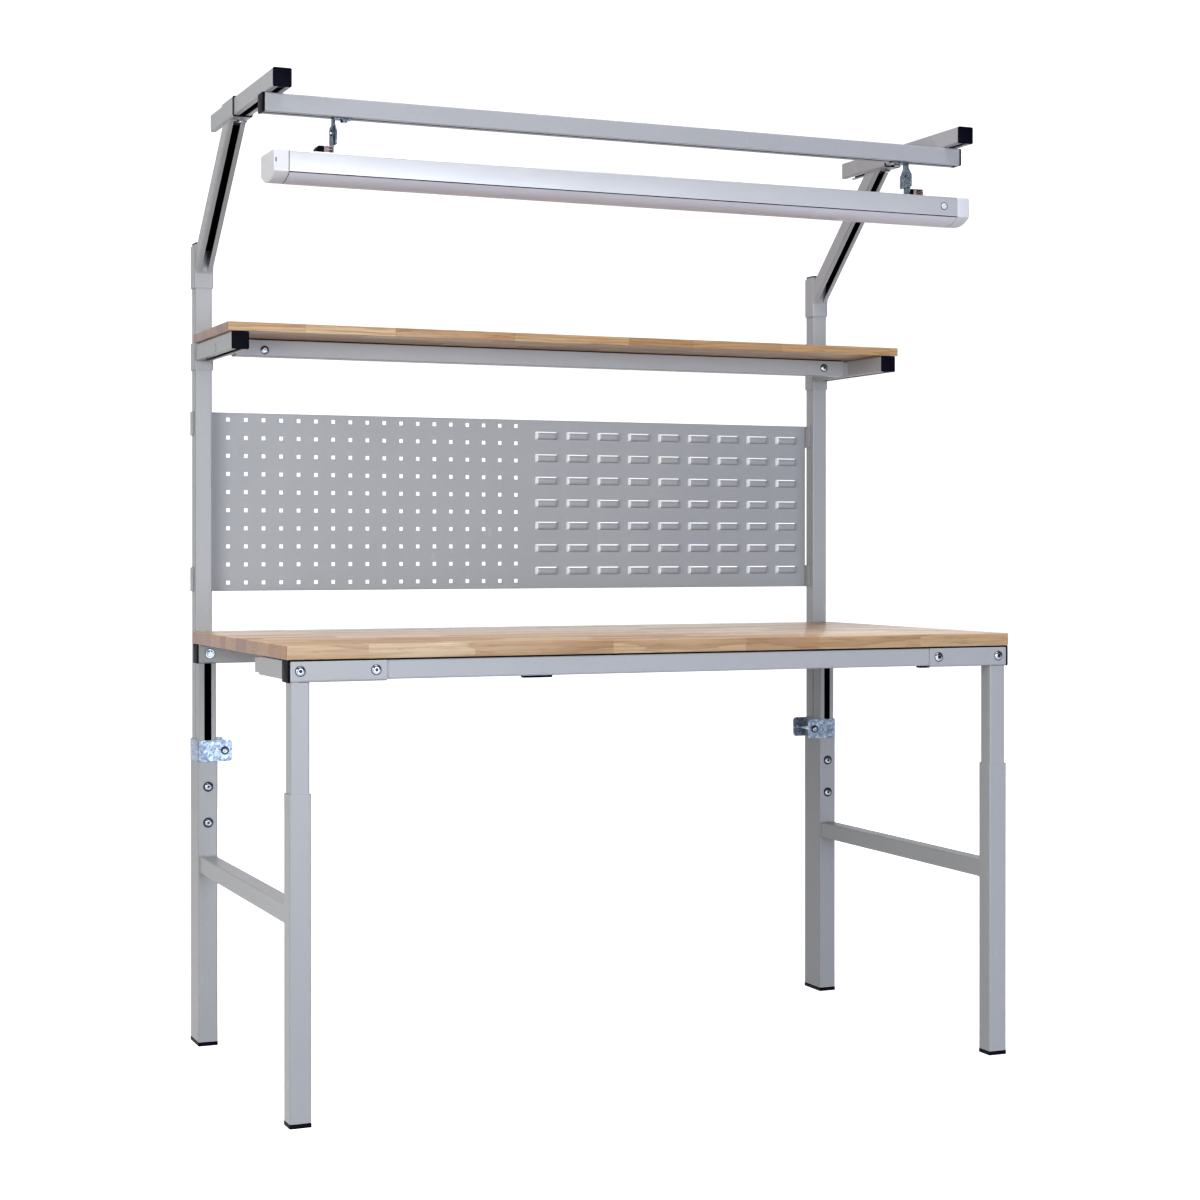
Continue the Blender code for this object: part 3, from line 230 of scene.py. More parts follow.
# %% Node helpers
class Finish:
    """One material with its node tree; the helpers return the output socket of what they add."""

    def __init__(self, name):
        self.material = bpy.data.materials.new(name)
        self.material.use_nodes = True
        self.tree = self.material.node_tree
        self.shader = self.tree.nodes["Principled BSDF"]
        self.place = self.add("ShaderNodeTexCoord").outputs["Object"]

    def add(self, kind, **settings):
        node = self.tree.nodes.new(kind)
        for name, value in settings.items():
            setattr(node, name, value)
        return node

    def put(self, socket, value):
        """A socket takes another node's output, a number or a colour."""
        if isinstance(value, bpy.types.NodeSocket):
            self.tree.links.new(value, socket)
        else:
            socket.default_value = value

    def value(self, name, value):
        self.put(self.shader.inputs[name], value)

    def math(self, operation, first, second=0.0, third=0.0):
        node = self.add("ShaderNodeMath", operation=operation)
        for socket, value in zip(node.inputs, (first, second, third)):
            self.put(socket, value)
        return node.outputs[0]

    def times(self, first, second):
        return self.math("MULTIPLY", first, second)

    def plus(self, first, second):
        return self.math("ADD", first, second)

    def scaled(self, value, factor, offset):
        return self.math("MULTIPLY_ADD", value, factor, offset)

    def stretch(self, *scale):
        """Object coordinates multiplied per axis; below 1 draws a pattern out along that axis."""
        node = self.add("ShaderNodeMapping")
        self.put(node.inputs["Vector"], self.place)
        node.inputs["Scale"].default_value = scale
        return node.outputs[0]

    def noise(self, grain_mm, place=None, detail=2.0, roughness=0.5):
        node = self.add("ShaderNodeTexNoise")
        self.put(node.inputs["Vector"], self.place if place is None else place)
        node.inputs["Scale"].default_value = 1000.0 / grain_mm
        node.inputs["Detail"].default_value = detail
        node.inputs["Roughness"].default_value = roughness
        return node.outputs["Fac"]

    def cells(self, size_mm, place):
        """A Voronoi texture: each cell has one random colour."""
        node = self.add("ShaderNodeTexVoronoi", feature="F1")
        self.put(node.inputs["Vector"], place)
        node.inputs["Scale"].default_value = 1000.0 / size_mm
        node.inputs["Randomness"].default_value = 1.0
        return node.outputs["Color"]

    def chance(self, *parts):
        """A number from 0 to 1 that is the same wherever the parts are the same."""
        joined = self.add("ShaderNodeCombineXYZ")
        for socket, value in zip(joined.inputs, parts):
            self.put(socket, value)
        node = self.add("ShaderNodeTexWhiteNoise", noise_dimensions="3D")
        self.tree.links.new(joined.outputs[0], node.inputs["Vector"])
        return node.outputs["Value"]

    def spread(self, value, low, high, to_low=0.0, to_high=1.0):
        """value between low and high, carried over to between to_low and to_high."""
        node = self.add("ShaderNodeMapRange")
        for name, entry in (("Value", value), ("From Min", low), ("From Max", high)):
            self.put(node.inputs[name], entry)
        node.inputs["To Min"].default_value = to_low
        node.inputs["To Max"].default_value = to_high
        return node.outputs["Result"]

    def blend(self, amount, first, second, how="MIX"):
        node = self.add("ShaderNodeMix", data_type="RGBA", blend_type=how, clamp_factor=True)
        self.put(node.inputs["Factor"], amount)
        self.put(node.inputs[6], first)
        self.put(node.inputs[7], second)
        return node.outputs[2]

    def tint(self, tone, where, strength, colour):
        """The tone drawn towards a colour by strength, where the mask is 1."""
        return self.blend(self.times(where, strength), tone, colour)

    def ramp(self, value, *stops):
        """Colours at places from 0 to 1, each stop written (place, colour)."""
        node = self.add("ShaderNodeValToRGB")
        self.put(node.inputs["Fac"], value)
        elements = node.color_ramp.elements
        for stop in stops[2:]:
            elements.new(stop[0])
        for element, (place, colour) in zip(elements, sorted(stops, key=lambda s: s[0])):
            element.position = place
            element.color = colour
        return node.outputs["Color"]

    def bump(self, height, depth_mm):
        node = self.add("ShaderNodeBump")
        node.inputs["Strength"].default_value = 1.0
        node.inputs["Distance"].default_value = depth_mm / 1000.0
        self.put(node.inputs["Height"], height)
        return node.outputs["Normal"]


def shade(red, green, blue):
    """A colour given as it reads on a screen, 0 to 255, as the linear values that Blender mixes."""
    parts = np.array([red, green, blue]) / 255.0
    linear = np.where(parts <= 0.04045, parts / 12.92, ((parts + 0.055) / 1.055) ** 2.4)
    return (*[float(v) for v in linear], 1.0)


# %% [markdown]
# ## Powder coat
# The frame is baked powder paint: an even light grey whose surface is very slightly pebbled, like
# the skin of an orange, with a grain of a millimetre or two. A flat grey would look like plastic
# film. Here the finest noise gives the pebble as a bump, two coarser ones move the tone by a few
# percent, one of them the gloss too, and a stretched one leaves faint handling marks.

# %% Powder coat and sheet coat
def powder_coat(name, tone, darker, gloss, pebble_mm):
    finish = Finish(name)
    cloud = finish.noise(260.0, detail=3.0)
    fine = finish.noise(9.0, detail=4.0, roughness=0.6)
    mix = finish.scaled(cloud, 0.6, finish.times(fine, 0.4))
    colour = finish.ramp(mix, (0.3, darker), (0.7, tone))
    rub = finish.noise(38.0, place=finish.stretch(1.0, 1.0, 0.35), detail=6.0, roughness=0.7)
    marks = finish.spread(rub, 0.62, 0.74)
    colour = finish.tint(colour, marks, 0.16, shade(214, 216, 220))
    finish.value("Base Color", colour)
    finish.value("Roughness", finish.spread(fine, 0.3, 0.7, gloss - 0.05, gloss + 0.06))
    finish.value("Specular IOR Level", 0.45)
    pebble = finish.noise(pebble_mm, detail=1.0)
    finish.value("Normal", finish.bump(pebble, 0.035))
    return finish.material


frame_coat = powder_coat("frame_powder_coat", shade(165, 166, 169), shade(159, 160, 164), 0.40, 1.7)
panel_coat = powder_coat("panel_powder_coat", shade(158, 159, 163), shade(152, 153, 158), 0.44, 1.5)
# A near-white copy of the panel's coat, a painted highlight for the panel's cut rims and lit louvre ends.
painted_edge_highlight = powder_coat("panel_painted_highlight", shade(236, 239, 245), shade(228, 231, 238), 0.30, 1.5)
print("coats:", frame_coat.name, panel_coat.name, painted_edge_highlight.name)


# %% [markdown]
# ## Black plastic
# End caps and feet are moulded, near black with a hint of blue, and matt from a sparked mould. Two
# noises of different grain make that texture; a smooth black would show sharp reflections that the
# real caps don't have.

# %% Black plastic
def moulded_plastic(name, tone, lighter, gloss, grain_mm, depth_mm, shine=0.5):
    finish = Finish(name)
    grain = finish.noise(grain_mm, detail=3.0, roughness=0.65)
    cloud = finish.noise(45.0, detail=2.0)
    finish.value("Base Color", finish.ramp(cloud, (0.35, tone), (0.7, lighter)))
    finish.value("Roughness", finish.spread(grain, 0.3, 0.7, gloss - 0.06, gloss + 0.08))
    finish.value("Specular IOR Level", shine)
    finish.value("Normal", finish.bump(grain, depth_mm))
    return finish.material


black_plastic = moulded_plastic(
    "black_cap_plastic", shade(3, 4, 14), shade(8, 9, 21), gloss=0.5, grain_mm=0.9, depth_mm=0.03,
    shine=0.035
)
# Near black for the insides of tubes, holes in the shelf arms and a slot in the lamp cap: painted shade where
# little light gets in, darker than the bare steel there.
hollow_shade_material = moulded_plastic(
    "painted_hollow_shade", shade(6, 7, 14), shade(12, 13, 22), gloss=0.8, grain_mm=1.4, depth_mm=0.03,
    shine=0.02
)
white_plastic = moulded_plastic(
    "white_cap_plastic", shade(214, 213, 219), shade(219, 218, 223), gloss=0.38, grain_mm=1.2, depth_mm=0.02
)

# %% [markdown]
# ## Zinc, steel and lamp finishes
# The clamps are galvanised sheet. Molten zinc freezes into crystals a few millimetres wide, each
# with its own brightness, and a Voronoi texture is just that: cells around scattered points. The
# bolts are bright plated steel with a fine grain, and the lamp is stove-enamelled sheet.


# %% Zinc and steel
def galvanised_sheet(name, dark, middle, light, crystal_mm):
    finish = Finish(name)
    warped = finish.noise(20.0, detail=2.0)
    place = finish.add("ShaderNodeVectorMath", operation="ADD")
    finish.put(place.inputs[0], finish.place)
    offset = finish.add("ShaderNodeCombineXYZ")
    for socket in offset.inputs:
        finish.put(socket, finish.times(warped, 0.006))
    finish.put(place.inputs[1], offset.outputs[0])
    crystal = finish.cells(crystal_mm, place=place.outputs[0])
    split = finish.add("ShaderNodeSeparateColor")
    finish.put(split.inputs[0], crystal)
    frost = finish.noise(1.1, detail=2.0)
    tone = finish.scaled(split.outputs[0], 0.75, finish.times(frost, 0.25))
    colour = finish.ramp(tone, (0.12, dark), (0.5, middle), (0.88, light))
    finish.value("Base Color", colour)
    finish.value("Metallic", 0.85)
    finish.value("Roughness", finish.spread(split.outputs[1], 0.0, 1.0, 0.30, 0.50))
    finish.value("Normal", finish.bump(tone, 0.05))
    return finish.material


def plated_steel(name, tone, darker, gloss):
    finish = Finish(name)
    grain = finish.noise(0.8, detail=3.0, roughness=0.7)
    cloud = finish.noise(14.0, detail=3.0)
    finish.value("Base Color", finish.ramp(cloud, (0.3, darker), (0.7, tone)))
    finish.value("Metallic", 1.0)
    finish.value("Roughness", finish.spread(grain, 0.3, 0.7, gloss - 0.05, gloss + 0.12))
    finish.value("Normal", finish.bump(grain, 0.012))
    return finish.material


zinc_sheet = galvanised_sheet(
    "galvanised_sheet", shade(96, 108, 128), shade(126, 141, 160), shade(172, 185, 199), crystal_mm=4.6
)
dull_zinc = galvanised_sheet(
    "dull_zinc_sheet", shade(52, 62, 74), shade(82, 95, 108), shade(134, 148, 160), crystal_mm=3.0
)
bright_steel = plated_steel("bright_plated_steel", shade(164, 170, 178), shade(126, 133, 144), 0.20)
# Dark steel for the washers round bolt heads and the discs in sockets: real washers, made darker as painted
# shade round and inside the heads.
washer_and_shade_steel = plated_steel("washer_steel_and_painted_shade", shade(48, 50, 58), shade(28, 30, 38), 0.34)
brown_steel = plated_steel("brown_spring_steel", shade(168, 148, 144), shade(122, 104, 102), 0.30)


# %% Lamp finishes
def enamel(name, tone, darker, metal):
    """Stoved silver enamel: hard and glossy, with the long slow waves of painted sheet."""
    finish = Finish(name)
    wave = finish.noise(60.0, place=finish.stretch(0.35, 1.0, 1.0), detail=2.0)
    peel = finish.noise(2.4, detail=1.0)
    finish.value("Base Color", finish.ramp(wave, (0.35, darker), (0.7, tone)))
    finish.value("Roughness", finish.spread(peel, 0.35, 0.65, 0.32, 0.40))
    finish.value("Metallic", metal)
    finish.value("Coat Weight", 0.25)
    finish.value("Coat Roughness", 0.12)
    finish.value("Normal", finish.bump(peel, 0.02))
    return finish.material


def opal_lens():
    """Milky acrylic: a satin skin, and light that scatters below it."""
    finish = Finish("opal_lens")
    cloud = finish.noise(120.0, place=finish.stretch(0.3, 1.0, 1.0), detail=2.0)
    frost = finish.noise(0.7, detail=2.0)
    finish.value("Base Color", finish.ramp(cloud, (0.35, shade(218, 215, 227)), (0.7, shade(225, 222, 233))))
    finish.value("Roughness", finish.spread(frost, 0.3, 0.7, 0.36, 0.48))
    finish.value("Subsurface Weight", 0.15)
    finish.value("Subsurface Scale", 0.004)
    finish.value("Normal", finish.bump(frost, 0.008))
    return finish.material


def coated_glass():
    """A fluorescent tube: glass with a white powder inside, which hides what is behind it."""
    finish = Finish("coated_tube_glass")
    powder = finish.noise(1.6, detail=3.0)
    finish.value("Base Color", finish.ramp(powder, (0.3, shade(236, 238, 240)), (0.7, shade(246, 247, 248))))
    finish.value("Roughness", finish.spread(powder, 0.3, 0.7, 0.14, 0.24))
    finish.value("Coat Weight", 0.6)
    finish.value("Coat Roughness", 0.05)
    return finish.material


silver_enamel = enamel("silver_lamp_enamel", shade(211, 212, 214), shade(206, 207, 210), 0.48)
lens_plastic = opal_lens()
tube_glass = coated_glass()

# %% [markdown]
# ## Finger-jointed hardwood
# The worktop and the shelf are glued up from staves about 40 mm wide, and each stave from short
# blocks joined end to end, so the surface is a patchwork of honey tones. A picture wrapped round
# the board would break at its edges. Instead the pattern is worked out in space: which stave and
# block a point is in gives the tone, and the distance from that block's own pith gives the growth
# rings. The faces then show long grain and the ends show arcs, as in real wood.


# %% Hardwood
def stave_wood(name, stave_width, block_length, stave_shift, middle_height, tone_multiplier):
    finish = Finish(name)
    split = finish.add("ShaderNodeSeparateXYZ")
    finish.put(split.inputs[0], finish.place)
    x, y, z = split.outputs
    stave_run = finish.math("DIVIDE", finish.plus(y, stave_shift), stave_width)
    stave = finish.math("FLOOR", stave_run)
    shift = finish.chance(stave, 3.7, 0.0)
    size = finish.spread(finish.chance(stave, 9.1, 2.0), 0.0, 1.0, 0.75, 1.3)
    run = finish.math("DIVIDE", finish.plus(x, shift), finish.times(size, block_length))
    finger = finish.times(finish.math("PINGPONG", z, 0.0035), 2.2)
    run = finish.plus(run, finger)
    ragged = finish.chance(stave, finish.math("FLOOR", run), 5.0)
    joint_run = finish.plus(run, finish.times(ragged, 0.45))
    half_run = finish.math("FLOOR", joint_run)
    block = finish.chance(stave, half_run, 1.0)
    second = finish.chance(stave, half_run, 7.0)
    third = finish.chance(stave, half_run, 13.0)

    wander = finish.noise(240.0, place=finish.stretch(0.5, 1.0, 1.0), detail=2.0)
    fibre = finish.noise(16.0, place=finish.stretch(0.035, 1.0, 1.0), detail=4.0, roughness=0.65)
    pith_y = finish.scaled(second, 0.16, -0.08)
    pith_z = finish.scaled(third, 0.10, -0.11)
    across = finish.plus(finish.math("SUBTRACT", y, finish.times(stave, stave_width)), pith_y)
    along_lean = finish.times(x, finish.scaled(block, 0.06, -0.03))
    upright = finish.plus(finish.plus(finish.math("SUBTRACT", z, middle_height), pith_z), along_lean)
    radius = finish.math("SQRT", finish.plus(finish.times(across, across), finish.times(upright, upright)))
    radius = finish.scaled(wander, 0.020, radius)
    radius = finish.scaled(fibre, 0.0030, radius)
    ring = finish.math("FRACT", finish.math("DIVIDE", radius, 0.0062))
    late_wood = finish.spread(ring, 0.55, 1.0)

    tone = finish.ramp(
        block, (0.0, shade(194, 153, 107)), (0.3, shade(231, 197, 149)), (0.55, shade(251, 228, 185)),
        (0.8, shade(221, 183, 135)), (1.0, shade(172, 129, 86))
    )
    tone = finish.tint(tone, late_wood, 0.50, shade(142, 98, 62))
    streak = finish.spread(fibre, 0.35, 0.72)
    tone = finish.tint(tone, streak, 0.34, shade(224, 194, 152))
    pore = finish.noise(4.2, place=finish.stretch(0.05, 1.0, 1.0), detail=3.0, roughness=0.7)
    pores = finish.spread(pore, 0.54, 0.68)
    tone = finish.tint(tone, pores, 0.55, shade(128, 84, 50))
    vein = finish.noise(5.5, place=finish.stretch(0.035, 1.0, 1.0), detail=2.0, roughness=0.6)
    tone = finish.blend(finish.spread(vein, 0.46, 0.66, 0.0, 0.40), tone, shade(158, 112, 70))
    knot = finish.noise(95.0, place=finish.stretch(0.28, 1.0, 1.0), detail=3.0)
    dark = finish.spread(knot, 0.64, 0.74)
    tone = finish.tint(tone, dark, 0.55, shade(112, 74, 48))

    edge = finish.math("FRACT", stave_run)
    seam = finish.spread(finish.math("PINGPONG", edge, 0.5), 0.0, 0.012, 1.0, 0.0)
    joint = finish.spread(finish.math("PINGPONG", joint_run, 0.5), 0.0, 0.0045, 1.0, 0.0)
    lines = finish.math("MAXIMUM", seam, joint)
    tone = finish.tint(tone, lines, 0.45, shade(112, 76, 48))
    facing = finish.add("ShaderNodeSeparateXYZ")
    finish.put(facing.inputs[0], finish.tree.nodes["Texture Coordinate"].outputs["Normal"])
    end_grain = finish.spread(finish.math("ABSOLUTE", facing.outputs[0]), 0.6, 0.8)
    tone = finish.blend(end_grain, tone, shade(186, 150, 108), how="MULTIPLY")
    tone = finish.blend(1.0, tone, tone_multiplier, how="MULTIPLY")
    finish.value("Base Color", tone)
    rough = finish.scaled(pores, 0.12, finish.spread(fibre, 0.3, 0.7, 0.36, 0.44))
    finish.value("Roughness", rough)
    finish.value("Specular IOR Level", 0.26)
    finish.value("Coat Weight", 0.20)
    finish.value("Coat Roughness", 0.14)
    relief = finish.plus(finish.times(pores, -0.7), finish.times(late_wood, 0.15))
    relief = finish.plus(relief, finish.times(lines, -0.6))
    finish.value("Normal", finish.bump(relief, 0.05))
    return finish.material


# Each board's wood is multiplied by a last colour: nearly white for the worktop, a darker one for the shelf.
bench_wood = stave_wood("worktop_hardwood", 0.0413, 0.26, 0.39475, 0.8405, shade(255, 254, 252))
shelf_wood = stave_wood("shelf_hardwood", 0.0430, 0.24, 0.0, 1.4568, shade(208, 198, 184))
print("woods:", bench_wood.name, shelf_wood.name)


# %% Floor material
def sweep_paper():
    finish = Finish("sweep_paper")
    fibre = finish.noise(30.0, detail=3.0)
    finish.value("Base Color", finish.ramp(fibre, (0.3, shade(240, 241, 243)), (0.7, shade(245, 246, 247))))
    finish.value("Roughness", 0.9)
    finish.value("Emission Color", shade(250, 250, 252))
    finish.value("Emission Strength", 1.1)
    return finish.material


floor.data.materials.append(sweep_paper())

# %% [markdown]
# ## Square tubes
# A drawn square tube has round corners and a thin wall, and its sawn ends are deburred. The
# outline is a rectangle whose corners are quarter circles. Carried along the tube's axis it gives
# the outside, and a second outline one wall further in gives the inside. A support point next to
# each corner keeps the flats evenly lit, because smooth shading blends across a whole face.

# %% Outlines of tubes
WALL = 0.002
TUBE_CORNER = 0.003
SAWN_EDGE = 0.0003
ARC_STEPS = 5
SUPPORT = 0.0006
SLOT = 0.015
TUBE_BORE_ROW = 5
PLANES = {"X": (1, 2, 0), "Y": (0, 2, 1), "Z": (0, 1, 2)}


def seen_along(axis, low, high):
    """A box as seen along an axis: its middle and size across it, then its two ends along it."""
    first, second, third = PLANES[axis]
    low, high = np.array(low, float), np.array(high, float)
    return ((low + high) / 2.0)[[first, second]], (high - low)[[first, second]], low[third], high[third]


def round_rectangle(width, height, corner, inset=0.0):
    """Corner centre + radius (cos t, sin t) for each quarter, with a support point on either side."""
    half = np.array([width, height]) / 2.0
    radius = max(corner - inset, 0.0002)
    centre = half - max(corner, inset + 0.0002)
    points = []
    for quarter, sign in enumerate(((1, -1), (1, 1), (-1, 1), (-1, -1))):
        t = np.linspace((quarter - 1) * math.pi / 2, quarter * math.pi / 2, ARC_STEPS)
        arc = np.array(sign) * centre + radius * np.stack([np.cos(t), np.sin(t)], axis=1)
        before = arc[0] + SUPPORT * np.array([math.sin(t[0]), -math.cos(t[0])])
        after = arc[-1] + SUPPORT * np.array([-math.sin(t[-1]), math.cos(t[-1])])
        points.append(np.vstack([before, arc, after]))
    return np.concatenate(points)


def slot_outline(width, height, corner, slot, inset=0.0):
    """The same outline, opened in the middle of its lower side by a slot."""
    ring = round_rectangle(width, height, corner, inset)
    y = -height / 2.0 + inset
    return np.vstack([[slot / 2.0, y], ring, [-slot / 2.0, y]])


def quarter_turns(outline, turns):
    """The outline turned anticlockwise by a number of right angles."""
    for _ in range(turns % 4):
        outline = np.stack([-outline[:, 1], outline[:, 0]], axis=1)
    return outline


def place_ring(axis, outline, middle, along):
    """A flat outline stood across an axis: two coordinates from the outline and one along the axis."""
    first, second, third = PLANES[axis]
    ring = np.empty((len(outline), 3))
    ring[:, first] = outline[:, 0] + middle[0]
    ring[:, second] = outline[:, 1] + middle[1]
    ring[:, third] = along
    return ring


def ring_stack(rings, closed_across=True):
    """A loop of rings, the last joined to the first; an open outline also gets its two lips."""
    rows = len(rings)
    columns = len(rings[0])
    face_sets = [grid_faces(rows, columns, close_rows=True, close_columns=closed_across)]
    if not closed_across:
        lip = np.arange(rows) * columns
        face_sets.append(lip[None, ::-1])
        face_sets.append((lip + columns - 1)[None, :])
    return outward(np.concatenate(rings), face_sets)


def tube_shell(axis, low, high, corner=TUBE_CORNER, wall=WALL, slot=None, slot_turns=0):
    """A tube between two box corners. The rings run out along the outside and back inside."""
    middle, size, start, end = seen_along(axis, low, high)

    def outline(inset):
        if slot is None:
            return round_rectangle(size[0], size[1], corner, inset)
        swapped = size if slot_turns % 2 == 0 else size[::-1]
        return quarter_turns(slot_outline(swapped[0], swapped[1], corner, slot, inset), slot_turns)

    plan = [
        (SAWN_EDGE, start), (0.0, start + SAWN_EDGE), (0.0, end - SAWN_EDGE), (SAWN_EDGE, end),
        (wall - SAWN_EDGE / 2, end), (wall, end - SAWN_EDGE), (wall, start + SAWN_EDGE),
        (wall - SAWN_EDGE / 2, start),
    ]
    rings = [place_ring(axis, outline(inset), middle, along) for inset, along in plan]
    columns = len(rings[0]) - (0 if slot is None else 1)
    # The row of the inner wall takes material 1, the near-black painted shade of the bore.
    return marked_row(ring_stack(rings, closed_across=slot is None), columns, TUBE_BORE_ROW)


def box_at(axis, middle, size, start, end):
    """Two box corners for a block of a given size across an axis and between two places along it."""
    first, second, third = PLANES[axis]
    low = np.empty(3)
    high = np.empty(3)
    for index, centre, extent in zip((first, second), middle, size):
        low[index] = centre - extent / 2
        high[index] = centre + extent / 2
    low[third], high[third] = sorted([start, end])
    return low, high


# %% Placing a finished piece
PIECES = []


def finish_piece(name, shells, material, body, stands_for=(), smooth_angle=32.0):
    """Makes the mesh, gives it its material and body, and hides the CAD nodes it stands for."""
    piece = bpy.data.objects.new(name, mesh_of(name, shells, smooth_angle))
    bpy.context.collection.objects.link(piece)
    piece.data.materials.append(material)
    # Shells with a marked row also take the near-black painted shade for their bores.
    if any(len(shell) > 2 for shell in shells):
        piece.data.materials.append(hollow_shade_material)
    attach(piece, body)
    if stands_for:
        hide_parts(*stands_for)
    PIECES.append(piece)
    return piece


def tube_for(node, axis, body, **shape):
    """A finished tube exactly where the node's box is."""
    low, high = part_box(node)
    shell = tube_shell(axis, low, high, **shape)
    return finish_piece(f"{node}_tube", [shell], frame_coat, body, [node])


# %% Legs, braces, posts and straight rails
SIDES = {"left": -1, "right": 1}

for side in SIDES:
    tube_for(f"outer_leg_front_{side}", "Z", "stand")
    tube_for(f"outer_leg_rear_{side}", "Z", "stand")
    tube_for(f"side_brace_{side}", "Y", "stand")
    tube_for(f"post_{side}", "Z", "stand")
    tube_for(f"inner_leg_front_{side}", "Z", "bench", slot=SLOT, slot_turns=2)
    tube_for(f"inner_leg_rear_{side}", "Z", "bench", slot=SLOT)
    tube_for(f"reach_bar_{side}", "Y", "reach", slot=SLOT)
tube_for("front_rail", "X", "bench", slot=SLOT)
tube_for("rear_rail", "X", "bench", slot=SLOT)
tube_for("light_rail", "X", "reach", slot=SLOT)
tube_for("shelf_rail", "X", "shelf")
print("straight tubes:", len(PIECES))


# %% [markdown]
# ## Brackets, carriers and slanted arms
# These are sleeves one size larger than the tubes, with an arm welded on. Each is built as its
# separate tubes, set against each other as the fitter would, and then a weld bead is run round
# the joint. The slanted arm is mitred at both ends: every point of its outline slides along the
# arm's own direction until it meets the sleeve's face or the head's underside.

# %% Weld beads
BEAD = 0.0019
BEAD_STEPS = 7
RIPPLE_PITCH = 0.0022


def weld_bead(path):
    """A ripple along a closed path: radius (1 + 0.12 sin(2 pi s / pitch)), s the length so far."""
    path = np.asarray(path, float)
    step = np.roll(path, -1, axis=0) - path
    length = np.linalg.norm(step, axis=1)
    count = np.maximum((length / (RIPPLE_PITCH / 4)).astype(int), 1)
    fine = np.concatenate([
        start + np.linspace(0.0, 1.0, n, endpoint=False)[:, None] * move
        for start, move, n in zip(path, step, count)
    ])
    ahead = np.roll(fine, -1, axis=0) - np.roll(fine, 1, axis=0)
    ahead /= np.linalg.norm(ahead, axis=1)[:, None]
    travelled = np.concatenate([[0.0], np.cumsum(np.linalg.norm(np.diff(fine, axis=0), axis=1))])
    out = fine - fine.mean(axis=0)
    out -= np.sum(out * ahead, axis=1)[:, None] * ahead
    out /= np.linalg.norm(out, axis=1)[:, None]
    side = np.cross(ahead, out)
    swell = BEAD * (1.0 + 0.12 * np.sin(2 * math.pi * travelled / RIPPLE_PITCH))
    t = np.linspace(0.0, 2 * math.pi, BEAD_STEPS, endpoint=False)
    spoke = out[:, None] * np.cos(t)[None, :, None] + side[:, None] * np.sin(t)[None, :, None]
    points = fine[:, None] + swell[:, None, None] * spoke
    return outward(points.reshape(-1, 3), [grid_faces(len(fine), BEAD_STEPS, True, True)])


def square_bead(axis, outline, middle, along):
    return weld_bead(place_ring(axis, outline, middle, along))


# %% Sizes shared by the sleeves
TUBE = 0.035
SLEEVE = 0.040
WELD_OVERLAP = 0.0005
TUBE_RING = round_rectangle(TUBE, TUBE, TUBE_CORNER)

for side in SIDES:
    middle, _, *ends = seen_along("Y", *corners(f"side_brace_{side}"))
    beads = [square_bead("Y", TUBE_RING, middle, end) for end in ends]
    finish_piece(f"brace_welds_{side}", beads, frame_coat, "stand", smooth_angle=60.0)
print("brace runs from", ends[0].round(4), "to", ends[1].round(4))

# %% Corner brackets
BRACKET_CORNER = 0.004
BOLT_HEAD_HEIGHT = 0.0035
STUB_LENGTH = 0.040
STUB_SIZE = 0.0290
STUB_INSIDE = 0.020
STUB_CORNER = 0.002

for row in ("front", "rear"):
    for side in SIDES:
        node = f"corner_bracket_{row}_{side}"
        low, high = corners(node)
        if row == "front":
            low[1] += BOLT_HEAD_HEIGHT
        sleeve_high = high.copy()
        sleeve_high[1] = low[1] + SLEEVE
        shells = [tube_shell("X", low, sleeve_high, corner=BRACKET_CORNER)]
        if row == "front":
            leg_low, leg_high = corners(f"inner_leg_front_{side}")
            centre_z = (low[2] + high[2]) / 2
            arm_low = np.array([leg_low[0], low[1] + SLEEVE - WELD_OVERLAP, centre_z - TUBE / 2])
            arm_high = np.array([leg_high[0], high[1], centre_z + TUBE / 2])
            shells.append(tube_shell("Y", arm_low, arm_high))
            middle = ((arm_low + arm_high) / 2)[[0, 2]]
            shells.append(square_bead("Y", TUBE_RING, middle, low[1] + SLEEVE))
            stub = box_at("Y", middle, (STUB_SIZE, STUB_SIZE), high[1] - STUB_INSIDE, high[1] + STUB_LENGTH)
            shells.append(tube_shell("Y", *stub, corner=STUB_CORNER))
        finish_piece(f"{node}_sleeve", shells, frame_coat, "bench", [node])

# %% Shelf carriers
shelf_rail_low, shelf_rail_high = corners("shelf_rail")
rail_y, arm_z = ((shelf_rail_low + shelf_rail_high) / 2)[1:]
STUB_REACH = TUBE / 2 - WALL - 0.0005

for side, sign in SIDES.items():
    node = f"shelf_carrier_{side}"
    low, high = corners(node)
    post_middle = sum(corners(f"post_{side}")) / 2
    sleeve = box_at("Z", post_middle[:2], (SLEEVE, SLEEVE), low[2], high[2])
    wall_y = sleeve[0][1]
    arm_place = (post_middle[0], arm_z)
    arm = box_at("Y", arm_place, (TUBE, TUBE), low[1], wall_y + WELD_OVERLAP)
    inner_face = post_middle[0] - sign * TUBE / 2
    far_end = low[0] if sign > 0 else high[0]
    stub_size = (2 * STUB_REACH, 2 * STUB_REACH)
    stub = box_at("X", (rail_y, arm_z), stub_size, inner_face + sign * WELD_OVERLAP, far_end)
    shells = [
        tube_shell("Z", *sleeve, corner=BRACKET_CORNER),
        tube_shell("Y", *arm, slot=SLOT),
        tube_shell("X", *stub, corner=STUB_CORNER),
        square_bead("Y", TUBE_RING, arm_place, wall_y),
        square_bead("X", round_rectangle(*stub_size, STUB_CORNER), (rail_y, arm_z), inner_face),
    ]
    finish_piece(f"{node}_welded", shells, frame_coat, "shelf", [node])
print("shelf rail is", round(float(shelf_rail_high[0] - shelf_rail_low[0]), 4), "m long")

# %% Slanted arms with their sleeves and heads
ARM_ANGLE = math.radians(42.5)
ARM_FOOT_ABOVE_SLEEVE = 0.056
LIGHT_SLEEVE_HEIGHT = 0.088
HEAD_LENGTH = 0.090
ARM_SINK = 0.001
ARM_BORE_ROW = 2


